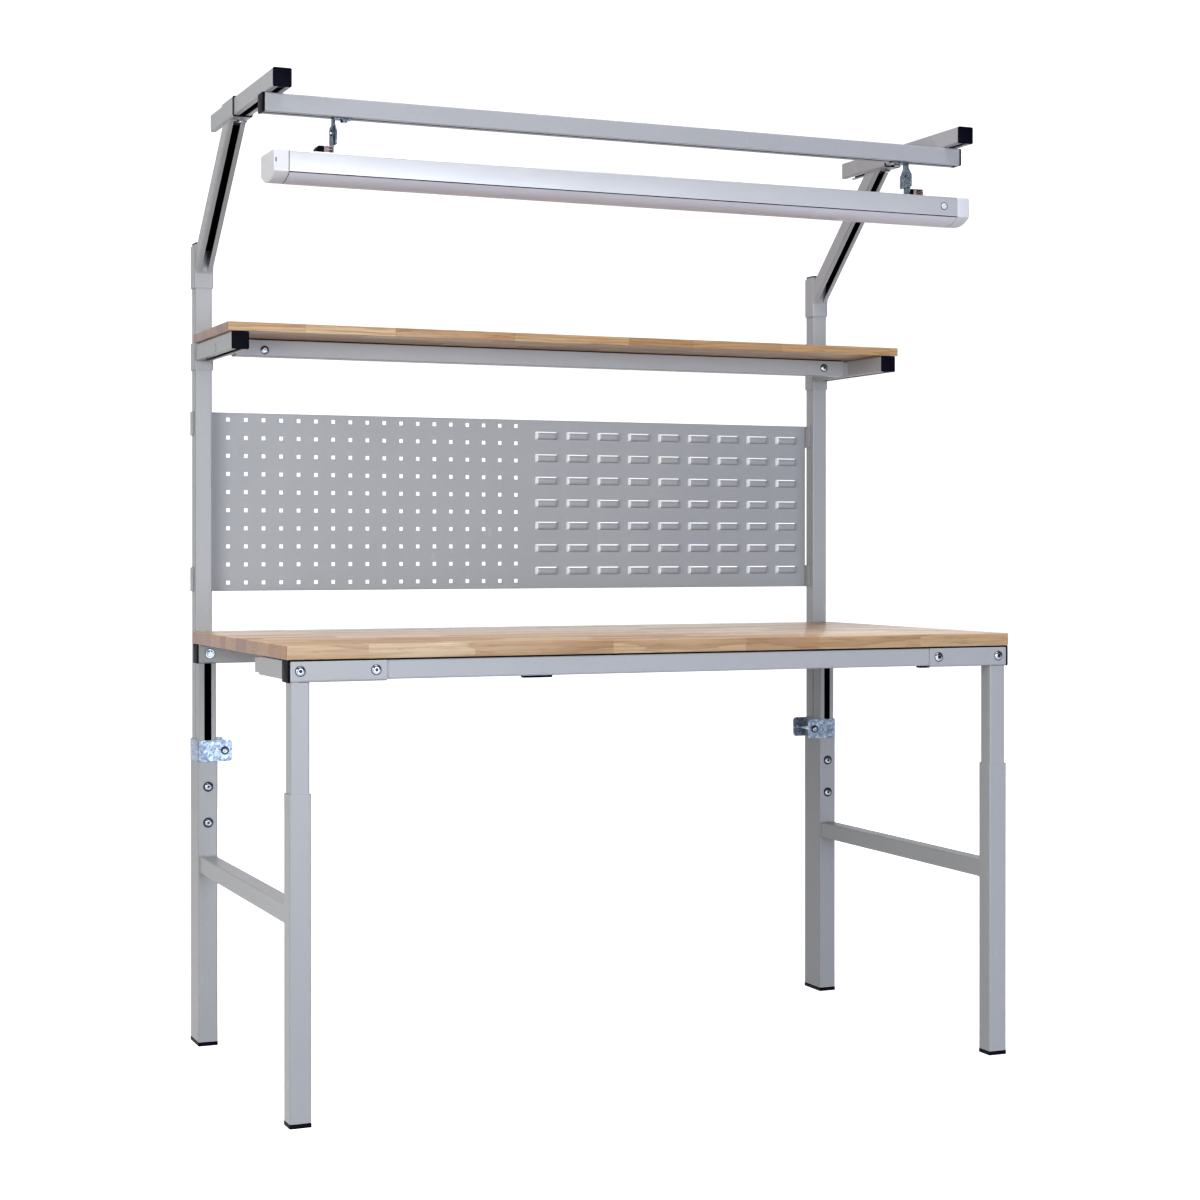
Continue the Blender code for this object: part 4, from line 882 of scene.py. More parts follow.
def mitred_arm(middle_x, wall_y, foot_z, head_z):
    """Outline point (x, p) starts at the wall, p / cos a higher, and runs up at angle a to the head."""
    rise = math.tan(ARM_ANGLE)
    rings = []
    plan = [(0.0, "low"), (0.0, "high"), (WALL, "high"), (WALL, "low")]
    for inset, end in plan:
        outline = slot_outline(TUBE, TUBE, TUBE_CORNER, SLOT, inset)
        low_z = foot_z + outline[:, 1] / math.cos(ARM_ANGLE)
        ring = np.empty((len(outline), 3))
        ring[:, 0] = middle_x + outline[:, 0]
        if end == "low":
            ring[:, 1] = wall_y
            ring[:, 2] = low_z
        else:
            ring[:, 1] = wall_y - (head_z - low_z) / rise
            ring[:, 2] = head_z
        rings.append(ring)
    # The arm's inner wall takes the same near-black painted shade.
    return marked_row(ring_stack(rings, closed_across=False), len(rings[0]) - 1, ARM_BORE_ROW)


head_boxes = {}
for side in SIDES:
    node = f"light_arm_{side}"
    low, high = corners(node)
    post_middle = sum(corners(f"post_{side}")) / 2
    sleeve_low = np.array([post_middle[0] - SLEEVE / 2, post_middle[1] - SLEEVE / 2, low[2]])
    sleeve_high = sleeve_low + np.array([SLEEVE, SLEEVE, LIGHT_SLEEVE_HEIGHT])
    head_low = np.array([sleeve_low[0], low[1], high[2] - SLEEVE])
    head_high = np.array([sleeve_high[0], low[1] + HEAD_LENGTH, high[2]])
    head_boxes[side] = (head_low, head_high)
    foot_z = low[2] + ARM_FOOT_ABOVE_SLEEVE
    wall_y = sleeve_low[1]
    sink = ARM_SINK * math.tan(ARM_ANGLE)
    arm = mitred_arm(post_middle[0], wall_y + ARM_SINK, foot_z - sink, head_low[2] + ARM_SINK)
    foot_ring = round_rectangle(TUBE, TUBE / math.cos(ARM_ANGLE), TUBE_CORNER)
    head_centre = wall_y - (head_low[2] - foot_z) / math.tan(ARM_ANGLE)
    head_ring = round_rectangle(TUBE, TUBE / math.sin(ARM_ANGLE), TUBE_CORNER)
    shells = [
        tube_shell("Z", sleeve_low, sleeve_high, corner=BRACKET_CORNER),
        tube_shell("Y", head_low, head_high, corner=BRACKET_CORNER),
        arm,
        square_bead("Y", foot_ring, [post_middle[0], foot_z], wall_y),
        square_bead("Z", head_ring, [post_middle[0], head_centre], head_low[2]),
    ]
    finish_piece(f"{node}_welded", shells, frame_coat, "light_arms", [node])
print("head sleeve front at y", head_low[1].round(4), "top at z", head_high[2].round(4))

# %% Bushes in the mouths of the head sleeves
BUSH_PROUD = 0.0018
BUSH_INSIDE = 0.0002
BUSH_WALL = 0.0021

for side, (head_low, head_high) in head_boxes.items():
    bush_low = head_low - np.array([0.0, BUSH_PROUD, 0.0])
    bush_high = np.array([head_high[0], head_low[1] + BUSH_INSIDE, head_high[2]])
    bush = tube_shell("Y", bush_low, bush_high, corner=BRACKET_CORNER, wall=BUSH_WALL)
    finish_piece(f"head_bush_{side}", [bush], black_plastic, "light_arms")

# %% [markdown]
# ## Solid plates, caps and feet
# A moulded cap is a plate with softly rounded rims and a plug behind it. The plate is the
# same round-cornered outline as the tube's, carried through its thickness while it shrinks along
# a quarter circle at each face, which is what a rounded rim is.

# %% Solids with rounded rims
RIM_STEPS = 4


def rim_plan(start, end, radius):
    """(inset, place) pairs: radius (1 - cos t) in from the side while radius sin t out to the face."""
    t = np.linspace(0.0, math.pi / 2, RIM_STEPS)
    inset = radius * (1.0 - np.cos(t))
    reach = radius * (1.0 - np.sin(t))
    sign = 1.0 if end > start else -1.0
    first = [(float(i), start + sign * float(r)) for i, r in zip(inset[::-1], reach[::-1])]
    last = [(float(i), end - sign * float(r)) for i, r in zip(inset, reach)]
    return first + last


def capped_stack(rings):
    """Rings joined in order, with a flat face over the first and the last."""
    columns = len(rings[0])
    rows = len(rings)
    ends = [np.arange(columns)[None, ::-1], np.arange(columns)[None, :] + (rows - 1) * columns]
    return outward(np.concatenate(rings), [grid_faces(rows, columns, close_columns=True)] + ends)


def slab_shell(axis, low, high, corner, rim):
    """A solid block between two box corners, its long edges and its rims rounded."""
    middle, size, start, end = seen_along(axis, low, high)
    rings = [
        place_ring(axis, round_rectangle(size[0], size[1], corner, inset), middle, along)
        for inset, along in rim_plan(start, end, rim)
    ]
    return capped_stack(rings)


# %% Feet and end caps
CAP_SEAT = 0.0003
CAP_RIM = 0.0012
CAP_LIP = 0.0021
CAP_OVERHANG = 0.0004
CAP_PLATE = 0.003
PLUG = TUBE - 2 * WALL - 2 * CAP_SEAT
PLUG_LENGTH = 0.020
PLUG_CORNER, PLUG_RIM = 0.0015, 0.0008
REACH_CAP_PLATE = 0.004
SHELF_CAP_SEAT = 0.0033
RAIL_END = 0.745


def cap_piece(name, node, axis, plate, seat, sign, thickness, body, stands_for, plug=(PLUG, PLUG)):
    """A plate on the end of the tube at the node's middle, and its plug inside the bore."""
    middle = seen_along(axis, *corners(node))[0]
    face = seat + sign * CAP_SEAT
    plate_box = box_at(axis, middle, plate, face, face + sign * thickness)
    plug_box = box_at(axis, middle, plug, face, seat - sign * PLUG_LENGTH)
    shells = [
        slab_shell(axis, *plate_box, TUBE_CORNER, CAP_RIM),
        slab_shell(axis, *plug_box, PLUG_CORNER, PLUG_RIM),
    ]
    finish_piece(name, shells, black_plastic, body, stands_for)


for row in ("front", "rear"):
    for side in SIDES:
        node = f"foot_{row}_{side}"
        size = seen_along("Z", *corners(node))[1]
        _, leg_size, leg_foot, _ = seen_along("Z", *corners(f"outer_leg_{row}_{side}"))
        bore = leg_size - 2 * WALL - 2 * CAP_SEAT
        thickness = leg_foot - CAP_SEAT
        cap_piece(f"{node}_moulded", node, "Z", size, leg_foot, -1, thickness, "stand", [node], bore)

for side, sign in SIDES.items():
    rail_end = sign * RAIL_END
    light_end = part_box("light_rail")[1 if sign > 0 else 0][0]
    arm_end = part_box(f"shelf_cap_{side}")[0][1] + SHELF_CAP_SEAT
    bar_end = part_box(f"reach_bar_{side}")[0][1]
    post_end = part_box(f"post_{side}")[1][2]
    wide, lipped = 2 * CAP_OVERHANG, CAP_PLATE + CAP_LIP
    for name, node, axis, width, seat, out, thickness, body, stands_for in (
        ("front_rail_cap", "front_rail", "X", SLEEVE + wide, rail_end - sign * CAP_LIP, sign, lipped, "bench",
         [f"rail_cap_{side}"]),
        ("rear_rail_cap", "rear_rail", "X", SLEEVE, rail_end, sign, CAP_PLATE, "bench", ()),
        ("light_rail_cap", "light_rail", "X", TUBE + wide, light_end - sign * CAP_LIP, sign, lipped, "reach",
         ()),
        ("shelf_arm_cap", f"shelf_cap_{side}", "Y", TUBE, arm_end, -1, CAP_PLATE, "shelf",
         [f"shelf_cap_{side}"]),
        ("reach_bar_cap", f"reach_bar_{side}", "Y", TUBE, bar_end, -1, REACH_CAP_PLATE, "reach",
         [f"reach_cap_{side}"]),
        ("post_top_cap", f"post_{side}", "Z", TUBE, post_end, 1, CAP_PLATE, "stand", ()),
    ):
        cap_piece(f"{name}_{side}", node, axis, (width, width), seat, out, thickness, body, stands_for)
print("caps:", sum("cap" in p.name for p in PIECES))

# %% [markdown]
# ## Worktop and shelf board
# Both boards are sanded smooth, with the sharp edge just taken off. The slab helper makes that
# edge from a quarter circle, so it catches a thin line of light along the whole front.

# %% Boards
BOARD_CORNER = 0.002
BOARD_EDGE = 0.0015

for name, node, wood, body in (
    ("worktop_board", "worktop", bench_wood, "bench"),
    ("shelf_board_slab", "shelf_board", shelf_wood, "shelf"),
):
    finish_piece(name, [slab_shell("Z", *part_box(node), BOARD_CORNER, BOARD_EDGE)], wood, body, [node])

# %% [markdown]
# ## Tool panel
# One steel sheet is punched with square holes on its left and pressed into louvres on its right,
# then its four edges are folded back. Cutting 180 holes with booleans would be slow and would
# leave long thin triangles. Instead every hole sits in a cell of its own: sixteen points round
# the hole face sixteen points round the cell, and neighbouring cells share their border points.
# The cut rims and the louvres' left ends take a second, lighter material: a painted highlight where the light
# catches them.

# %% Panel layout
PANEL_LOW, PANEL_HIGH = corners("tool_panel")
FLANGE_DEPTH = 0.015
FACE_Y = PANEL_HIGH[1] - FLANGE_DEPTH
SHEET = 0.0015
FOLD = 0.0022
HOLE_COLUMNS, HOLE_ROWS = 18, 10
HOLE_PITCH = 0.038
HOLE_SIZE = 0.0080
HOLE_CORNER = 0.0004
HOLE_MARGIN = (0.0376, 0.0145)
LOUVRE_COLUMNS, LOUVRE_ROWS = 9, 7
LOUVRE_PITCH = (0.075, 0.050)
LOUVRE_WIDTH, LOUVRE_HEIGHT, LOUVRE_DEPTH = 0.053, 0.0172, 0.0078
LOUVRE_MARGIN = (0.026, 0.026)
LOUVRE_SLIT = 0.0022
ZONE_GAP = 0.012

left_edge, right_edge = PANEL_LOW[0] + FOLD, PANEL_HIGH[0] - FOLD
low_edge, high_edge = PANEL_LOW[2] + FOLD, PANEL_HIGH[2] - FOLD


def edges_between(centres, low, high):
    return np.concatenate([[low], (centres[1:] + centres[:-1]) / 2, [high]])


hole_x = PANEL_LOW[0] + HOLE_MARGIN[0] + HOLE_PITCH * np.arange(HOLE_COLUMNS)
hole_z = PANEL_HIGH[2] - HOLE_MARGIN[1] - HOLE_PITCH * np.arange(HOLE_ROWS)[::-1]
hole_right = hole_x[-1] + HOLE_PITCH / 2
hole_x_edges = edges_between(hole_x, left_edge, hole_right)
hole_z_edges = edges_between(hole_z, low_edge, high_edge)
last_louvre = PANEL_HIGH[0] - LOUVRE_MARGIN[0] - LOUVRE_WIDTH / 2
louvre_x = last_louvre - LOUVRE_PITCH[0] * np.arange(LOUVRE_COLUMNS)[::-1]
louvre_top = PANEL_HIGH[2] - LOUVRE_MARGIN[1] - LOUVRE_PITCH[1] * np.arange(LOUVRE_ROWS)[::-1]
louvre_left = louvre_x[0] - LOUVRE_WIDTH / 2 - ZONE_GAP
louvre_x_edges = edges_between(louvre_x, louvre_left, right_edge)
louvre_z_edges = edges_between(louvre_top - LOUVRE_HEIGHT / 2, low_edge, high_edge)
print("holes:", len(hole_x) * len(hole_z), "louvres:", len(louvre_x) * len(louvre_top))


# %% Cells of the panel
def border(x0, x1, z0, z1, part_x, part_z):
    """Points round a rectangle, anticlockwise from its lower left, at the given fractions of a side."""
    bottom = np.stack([x0 + (x1 - x0) * part_x, np.full_like(part_x, z0)], axis=-1)
    right = np.stack([np.full_like(part_z, x1), z0 + (z1 - z0) * part_z], axis=-1)
    top = np.stack([x1 - (x1 - x0) * part_x, np.full_like(part_x, z1)], axis=-1)
    left = np.stack([np.full_like(part_z, x0), z1 - (z1 - z0) * part_z], axis=-1)
    return np.concatenate([bottom, right, top, left])


HOLE_PART = np.array([0.0, 0.37, 0.5, 0.63])


def hole_ring(x, z):
    """A square with round corners; at 45 degrees the arc stands corner (1 - 0.7071) in from the point."""
    half = HOLE_SIZE / 2
    flat = half - HOLE_CORNER
    nip = half - HOLE_CORNER * (1 - math.sqrt(0.5))
    side = np.array([[-nip, -nip], [-flat, -half], [0.0, -half], [flat, -half]])
    ring = []
    for turn in range(4):
        ring.append(quarter_turns(side, turn))
    return np.concatenate(ring) + np.array([x, z])


def hole_cell(x0, x1, z0, z1, x, z):
    outer = border(x0, x1, z0, z1, HOLE_PART, HOLE_PART)
    points = np.concatenate([outer, hole_ring(x, z)])
    flat = np.insert(points, 1, FACE_Y, axis=1)
    return flat, grid_faces(2, 16, close_columns=True)


HOOD_U = 15
HOOD_V = 7
HOOD_BEVEL = 0.10


def hood_steps(count):
    """Places from 0 to 1 that crowd towards both ends: half + half sin(pi s / 2) twice over."""
    s = np.linspace(-1.0, 1.0, count)
    return 0.5 + 0.5 * np.sin(math.pi / 2 * np.sin(math.pi / 2 * s))


def hood_grid(x, top):
    """Stands out by depth (1 - (1 - t)^1.6) (1 - (1 - v)^9)^0.6.

    v runs up the louvre from 0 to 1, and t rises from 0 to 1 over the bevel at each of its ends.
    """
    u = hood_steps(HOOD_U)
    v = np.linspace(0.0, 1.0, HOOD_V) ** 2.0
    grid_u, grid_v = np.meshgrid(u, v)
    t = np.clip(np.minimum(grid_u, 1.0 - grid_u) / HOOD_BEVEL, 0.0, 1.0)
    ends = 1.0 - (1.0 - t) ** 1.6
    out = LOUVRE_DEPTH * ends * (1.0 - (1.0 - grid_v) ** 9) ** 0.6
    lip_drop = LOUVRE_SLIT * ends * grid_v
    px = x - LOUVRE_WIDTH / 2 + LOUVRE_WIDTH * grid_u
    pz = top - LOUVRE_HEIGHT + LOUVRE_HEIGHT * grid_v - lip_drop
    return np.stack([px, FACE_Y - out, pz], axis=-1), u, v


def louvre_cell(x0, x1, z0, z1, x, top):
    hood, u, v = hood_grid(x, top)
    part_u, part_v = u[:-1], v[:-1]
    inner = border(
        x - LOUVRE_WIDTH / 2, x + LOUVRE_WIDTH / 2, top - LOUVRE_HEIGHT, top, part_u, part_v
    )
    outer = border(x0, x1, z0, z1, part_u, part_v)
    ring = np.insert(np.concatenate([outer, inner]), 1, FACE_Y, axis=1)
    ring_faces = grid_faces(2, len(outer), close_columns=True)
    points = np.concatenate([ring, hood.reshape(-1, 3)])
    return points, np.concatenate([ring_faces, grid_faces(HOOD_V, HOOD_U) + len(ring)])


def cells_of(make, xs, zs, x_edges, z_edges):
    cells = [
        make(x_edges[i], x_edges[i + 1], z_edges[j], z_edges[j + 1], x, z)
        for i, x in enumerate(xs) for j, z in enumerate(zs)
    ]
    starts = np.cumsum([0] + [len(points) for points, _ in cells[:-1]])
    points = np.concatenate([points for points, _ in cells])
    faces = np.concatenate([quads + start for (_, quads), start in zip(cells, starts)])
    return points, faces


hole_points, hole_faces = cells_of(hole_cell, hole_x, hole_z, hole_x_edges, hole_z_edges)
louvre_points, louvre_faces = cells_of(louvre_cell, louvre_x, louvre_top, louvre_x_edges, louvre_z_edges)
print("sheet faces:", len(hole_faces), "+", len(louvre_faces))

# %% Folded edges and the strip between the two halves
part_u = hood_steps(HOOD_U)
part_v = np.linspace(0.0, 1.0, HOOD_V) ** 2.0


def along_edges(edges, parts):
    """Every border point along a row of cells, from the first edge to the last."""
    inner = np.concatenate([a + (b - a) * parts[:-1] for a, b in zip(edges[:-1], edges[1:])])
    return np.append(inner, edges[-1])


hole_part = np.append(HOLE_PART, 1.0)
row_x = np.concatenate([along_edges(hole_x_edges, hole_part), along_edges(louvre_x_edges, part_u)])
left_z = along_edges(hole_z_edges, hole_part)
right_z = along_edges(louvre_z_edges, part_v)


FOLD_STEPS = 5


def folded_edge(row, fixed, axis, sign):
    """The fold carried along a border: axis 0 runs along X at a height, axis 2 along Z at a width.

    From the sheet's edge it goes outwards and backwards by a quarter circle, then straight back.
    """
    t = np.linspace(0.0, math.pi / 2, FOLD_STEPS)
    out = np.append(FOLD * np.sin(t), FOLD)
    back = np.append(FOLD * (1.0 - np.cos(t)), FLANGE_DEPTH)
    grid = np.empty((len(out), len(row), 3))
    other = 2 - axis
    grid[:, :, axis] = row[None, :]
    grid[:, :, other] = (fixed + sign * out)[:, None]
    grid[:, :, 1] = (FACE_Y + back)[:, None]
    return grid.reshape(-1, 3), grid_faces(len(out), len(row))


strip = np.concatenate([
    np.stack([np.full_like(left_z, hole_right), np.full_like(left_z, FACE_Y), left_z], axis=1),
    np.stack([np.full_like(right_z, louvre_left), np.full_like(right_z, FACE_Y), right_z], axis=1)[::-1],
])
folds = [
    folded_edge(row_x, low_edge, 0, -1), folded_edge(row_x, high_edge, 0, 1),
    folded_edge(left_z, left_edge, 2, -1), folded_edge(right_z, right_edge, 2, 1),
]
print("folds:", [len(f[1]) for f in folds])


# %% The panel as one sheet
MERGE_GRAIN = 1e-5


def merged(points, faces):
    """Points that fall in the same cell of a fine grid become one point."""
    keys = np.round(points / MERGE_GRAIN).astype(np.int64)
    _, first, index = np.unique(keys, axis=0, return_index=True, return_inverse=True)
    index = index.reshape(-1)
    return points[first], [[int(index[i]) for i in face] for face in faces]


sheet_sets = [(hole_points, hole_faces), (louvre_points, louvre_faces)] + folds
all_points = np.concatenate([p for p, _ in sheet_sets] + [strip])
all_faces = []
start = 0
for points, quads in sheet_sets:
    all_faces.extend((quads + start).tolist())
    start += len(points)
all_faces.append((np.arange(len(strip)) + start).tolist())
panel_points, panel_faces = merged(all_points, all_faces)

panel_mesh = bpy.data.meshes.new("tool_panel_sheet")
panel_mesh.from_pydata(panel_points.tolist(), [], panel_faces)
panel_mesh.validate()

shape = bmesh.new()
shape.from_mesh(panel_mesh)
bmesh.ops.recalc_face_normals(shape, faces=shape.faces)
front_faces = [f for f in shape.faces if abs(f.normal.y) > 0.9]
if sum(f.normal.y * f.calc_area() for f in front_faces) > 0.0:
    bmesh.ops.reverse_faces(shape, faces=shape.faces)
shape.to_mesh(panel_mesh)
shape.free()
depths = np.empty(len(panel_mesh.vertices) * 3)
panel_mesh.vertices.foreach_get("co", depths)
in_sheet = np.abs(depths.reshape(-1, 3)[:, 1] - FACE_Y) < 1e-6
curved = [not all(in_sheet[list(face.vertices)]) for face in panel_mesh.polygons]
panel_mesh.polygons.foreach_set("use_smooth", curved)
# Louvre faces turned to the left, towards the lights, take the painted highlight; Solidify gives it to the
# rims too.
lit_left_ends = [face.normal.x < -0.30 and face.center.x > louvre_left for face in panel_mesh.polygons]
panel_mesh.polygons.foreach_set("material_index", [int(mark) for mark in lit_left_ends])
tool_panel = bpy.data.objects.new("tool_panel_sheet", panel_mesh)
bpy.context.collection.objects.link(tool_panel)
wall = tool_panel.modifiers.new("sheet_thickness", "SOLIDIFY")
wall.thickness = SHEET
wall.offset = -1.0
wall.use_even_offset = True
wall.material_offset_rim = 1
panel_mesh.materials.append(panel_coat)
panel_mesh.materials.append(painted_edge_highlight)
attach(tool_panel, "panel")
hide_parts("tool_panel")
print("panel has", len(panel_mesh.polygons), "faces before it is given its thickness")

# %% [markdown]
# ## Bent straps
# Clamps and hooks are strips of sheet bent round a post. A strip is a line in plan whose corners
# are arcs, given a thickness to one side and a height. At its free ends the height shrinks along
# a quarter circle, which makes the round-cornered ears seen on the clamps.


# %% Straps
END_STEPS = 6
STRAP_EDGE = 0.0004


def bent_line(points, radius, steps=6):
    """The corners of a line replaced by arcs: tangent points at radius tan(turn / 2) from each corner."""
    points = np.asarray(points, float)
    line = [points[:1]]
    for before, corner, after in zip(points[:-2], points[1:-1], points[2:]):
        into = (before - corner) / np.linalg.norm(before - corner)
        out = (after - corner) / np.linalg.norm(after - corner)
        half = math.acos(np.clip(np.dot(into, out), -1.0, 1.0)) / 2
        reach = radius / math.tan(half)
        middle = (into + out) / np.linalg.norm(into + out)
        centre = corner + middle * radius / math.sin(half)
        start = corner + into * reach - centre
        end = corner + out * reach - centre
        turn = math.atan2(start[0] * end[1] - start[1] * end[0], np.dot(start, end))
        t = np.linspace(0.0, turn, steps)
        arc = np.stack([
            start[0] * np.cos(t) - start[1] * np.sin(t), start[0] * np.sin(t) + start[1] * np.cos(t)
        ], axis=1)
        line.append(centre + arc)
    line.append(points[-1:])
    return np.concatenate(line)


def with_ends(line, radius):
    """Extra points near both free ends, closer together towards the end, for the rounded corners."""
    def end_points(tip, inner):
        ahead = (inner - tip) / np.linalg.norm(inner - tip)
        t = np.linspace(0.0, math.pi / 2, END_STEPS)
        return tip + ahead * (radius * (1.0 - np.cos(t)))[:, None]
    return np.concatenate([end_points(line[0], line[1]), line[1:-1], end_points(line[-1], line[-2])[::-1]])


def strap_shell(line, thickness, low_z, high_z, corner):
    """The line offset by half the thickness to either side, between heights that round off at the ends."""
    line = with_ends(np.asarray(line, float), corner)
    step = np.gradient(line, axis=0)
    step /= np.linalg.norm(step, axis=1)[:, None]
    normal = np.stack([-step[:, 1], step[:, 0]], axis=1)
    travelled = np.concatenate([[0.0], np.cumsum(np.linalg.norm(np.diff(line, axis=0), axis=1))])
    to_end = np.minimum(travelled, travelled[-1] - travelled)
    nearness = np.clip(1.0 - to_end / corner, 0.0, 1.0)
    cut = corner * (1.0 - np.sqrt(1.0 - nearness ** 2))
    flat_part = 1.0 - 2 * STRAP_EDGE / thickness
    plan = [
        (1.0, STRAP_EDGE, 0), (1.0, STRAP_EDGE, 1), (flat_part, 0.0, 1), (-flat_part, 0.0, 1),
        (-1.0, STRAP_EDGE, 1), (-1.0, STRAP_EDGE, 0), (-flat_part, 0.0, 0), (flat_part, 0.0, 0),
    ]
    rings = []
    for side, inset, top in plan:
        flat = line + normal * side * thickness / 2
        height = (high_z - cut - inset) if top else (low_z + cut + inset)
        rings.append(np.column_stack([flat, height]))
    return capped_stack(np.stack(rings, axis=1))


def upright_strap(line, thickness, low_y, high_y, corner):
    """A strap whose line is drawn in X and Z, so that its width lies along Y."""
    points, face_sets = strap_shell(line, thickness, low_y, high_y, corner)
    return outward(points[:, [0, 2, 1]], face_sets)


# %% Clamps on the rear legs
CLAMP_STRAP = 0.003
CLAMP_BEND = 0.0035
EAR_CORNER = 0.007
for side, sign in SIDES.items():
    node = f"clamp_{side}"
    low, high = corners(node)
    half = CLAMP_STRAP / 2
    ear_x = high[0] if sign < 0 else low[0]
    outer_x = low[0] if sign < 0 else high[0]
    line = bent_line([
        (ear_x, low[1] + half), (outer_x - sign * half, low[1] + half),
        (outer_x - sign * half, high[1] - half), (ear_x, high[1] - half),
    ], CLAMP_BEND)
    strap = strap_shell(line, CLAMP_STRAP, low[2], high[2], EAR_CORNER)
    finish_piece(f"{node}_strap", [strap], zinc_sheet, "stand", [node])

# %% Hooks that hold the tool panel
HOOK_BEND = 0.0022
HOOK_STRAP = 0.0029
HOOK_GAP = 0.0003
HOOK_CORNER = 0.003

for level in ("upper", "lower"):
    for side, sign in SIDES.items():
        node = f"panel_bracket_{level}_{side}"
        low, high = corners(node)
        half = HOOK_STRAP / 2
        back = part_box(f"post_{side}")[1][1] + HOOK_GAP + half
        outer = (high[0] - half) if sign > 0 else (low[0] + half)
        inner = (low[0] + half) if sign > 0 else (high[0] - half)
        grip = low[1]
        root = inner + sign * (half - WELD_OVERLAP)
        hook = bent_line([(root, back), (outer, back), (outer, grip)], HOOK_BEND)
        arm_line = np.array([(inner, grip), (inner, high[1] - 0.0002)])
        shells = [
            strap_shell(hook, HOOK_STRAP, low[2] + 0.0002, high[2] - 0.0002, HOOK_CORNER),
            strap_shell(arm_line, HOOK_STRAP, low[2], high[2], HOOK_CORNER),
        ]
        finish_piece(f"{node}_hook", shells, frame_coat, "panel", [node])
print("straps done")

# %% [markdown]
# ## Screws and bolts
# A button-head bolt is a turned dome with a hexagonal socket. Its rings are circles down to the
# rim of the socket, and hexagons below it: a hexagon's radius is the flat distance divided by the
# cosine of the angle from the middle of the side, so circle and hexagon share the same spokes.

# %% Turned heads
SPOKES = 36


def turned_rings(profile):
    """profile lists (radius, height); 'hex' after them bends the ring into a hexagon."""
    t = np.linspace(0.0, 2 * math.pi, SPOKES, endpoint=False)
    to_side = np.mod(t, math.pi / 3) - math.pi / 6
    rings = []
    for radius, height, *form in profile:
        r = radius / np.cos(to_side) * math.cos(math.pi / 6) if form else np.full(SPOKES, radius)
        rings.append(np.stack([r * np.cos(t), r * np.sin(t), np.full(SPOKES, height)], axis=1))
    return rings


def dome(radius, height, rim, steps=6):
    """A spherical cap from its rim up to the socket: height (1 - (r / radius)^2)^0.5 flattened."""
    s = np.linspace(0.0, 1.0, steps)
    r = radius - (radius - rim) * s
    h = height * np.sqrt(np.clip(1.0 - (r / radius) ** 2, 0.0, 1.0)) / math.sqrt(1.0 - (rim / radius) ** 2)
    return [(float(a), float(b)) for a, b in zip(r, h)]


AXES = {
    "-Y": np.array([[1, 0, 0], [0, 0, 1], [0, -1, 0]], float),
    "+Y": np.array([[-1, 0, 0], [0, 0, 1], [0, 1, 0]], float),
    "-Z": np.array([[1, 0, 0], [0, -1, 0], [0, 0, -1]], float),
    "+Z": np.array([[1, 0, 0], [0, 1, 0], [0, 0, 1]], float),
    "-X": np.array([[0, -1, 0], [0, 0, 1], [-1, 0, 0]], float),
    "+X": np.array([[0, 1, 0], [0, 0, 1], [1, 0, 0]], float),
}


def turned_shell(place, facing, profile):
    """Rings in the head's own frame, turned so that its height points the way the head faces."""
    across, up, out = AXES[facing]
    place = np.asarray(place, float)
    rings = [
        place + ring[:, :1] * across + ring[:, 1:2] * up + ring[:, 2:] * out for ring in turned_rings(profile)
    ]
    return capped_stack(rings)


SHANK = 0.004
SOCKET_DEPTH = 0.0026


def button_head(place, facing, radius=0.0088, height=0.0033, socket=0.0026, length=0.012):
    """A shank, a domed head and a hexagonal socket sunk into it."""
    profile = [(SHANK, -length), (SHANK, -0.0004), (radius * 0.97, -0.0004), (radius, 0.0002)]
    profile += dome(radius, height, socket * 1.25)
    profile += [
        (socket, height * 0.98, "hex"), (socket * 0.96, height - SOCKET_DEPTH, "hex"),
        (socket * 0.5, height - SOCKET_DEPTH * 1.15, "hex"),
    ]
    return turned_shell(place, facing, profile)


def socket_shade_disc(place, facing, height=0.0033, socket=0.0026):
    """A small dark disc in the mouth of a button head's socket, painted shade where the light doesn't reach.
    """
    return turned_shell(place, facing, [
        (socket * 0.99, height * 0.45, "hex"), (socket * 0.99, height * 0.80, "hex"),
        (socket * 0.5, height * 0.80, "hex"),
    ])


WASHER = 0.0014


def hex_head(place, facing, flat=0.0065, height=0.0045, washer=0.0095, length=0.012):
    """A washer with a hexagon head on it, its upper corners turned off."""
    corner = flat / math.cos(math.pi / 6)
    profile = [
        (SHANK, -length), (SHANK, 0.0), (washer * 0.96, 0.0),
        (washer, WASHER * 0.3), (washer, WASHER * 0.7), (washer * 0.96, WASHER),
        (corner * 0.98, WASHER, "hex"), (corner, WASHER + 0.0003, "hex"),
        (corner, WASHER + height * 0.85, "hex"),
        (flat * 0.93, WASHER + height), (flat * 0.5, WASHER + height),
    ]
    return turned_shell(place, facing, profile)


def pan_screw(place, facing, radius, height):
    """A low dome with a shallow recess for the driver, on a shank 2 mm in radius and 12 mm long."""
    profile = [(0.002, -0.012), (0.002, -0.0002), (radius * 0.96, -0.0002), (radius, 0.0003)]
    profile += dome(radius, height, radius * 0.38, 5)
    profile += [(radius * 0.3, height * 0.7, "hex"), (radius * 0.12, height * 0.3, "hex")]
    return turned_shell(place, facing, profile)


def flat_ring(place, facing, inner, outer, thickness):
    """A washer: out from the bore along its back, up over the rim and back in along its face."""
    rim = min(0.0003, thickness / 3)
    return turned_shell(place, facing, [
        (inner, 0.0), (outer, 0.0), (outer, thickness - rim),
        (outer - rim, thickness), (inner, thickness),
    ])
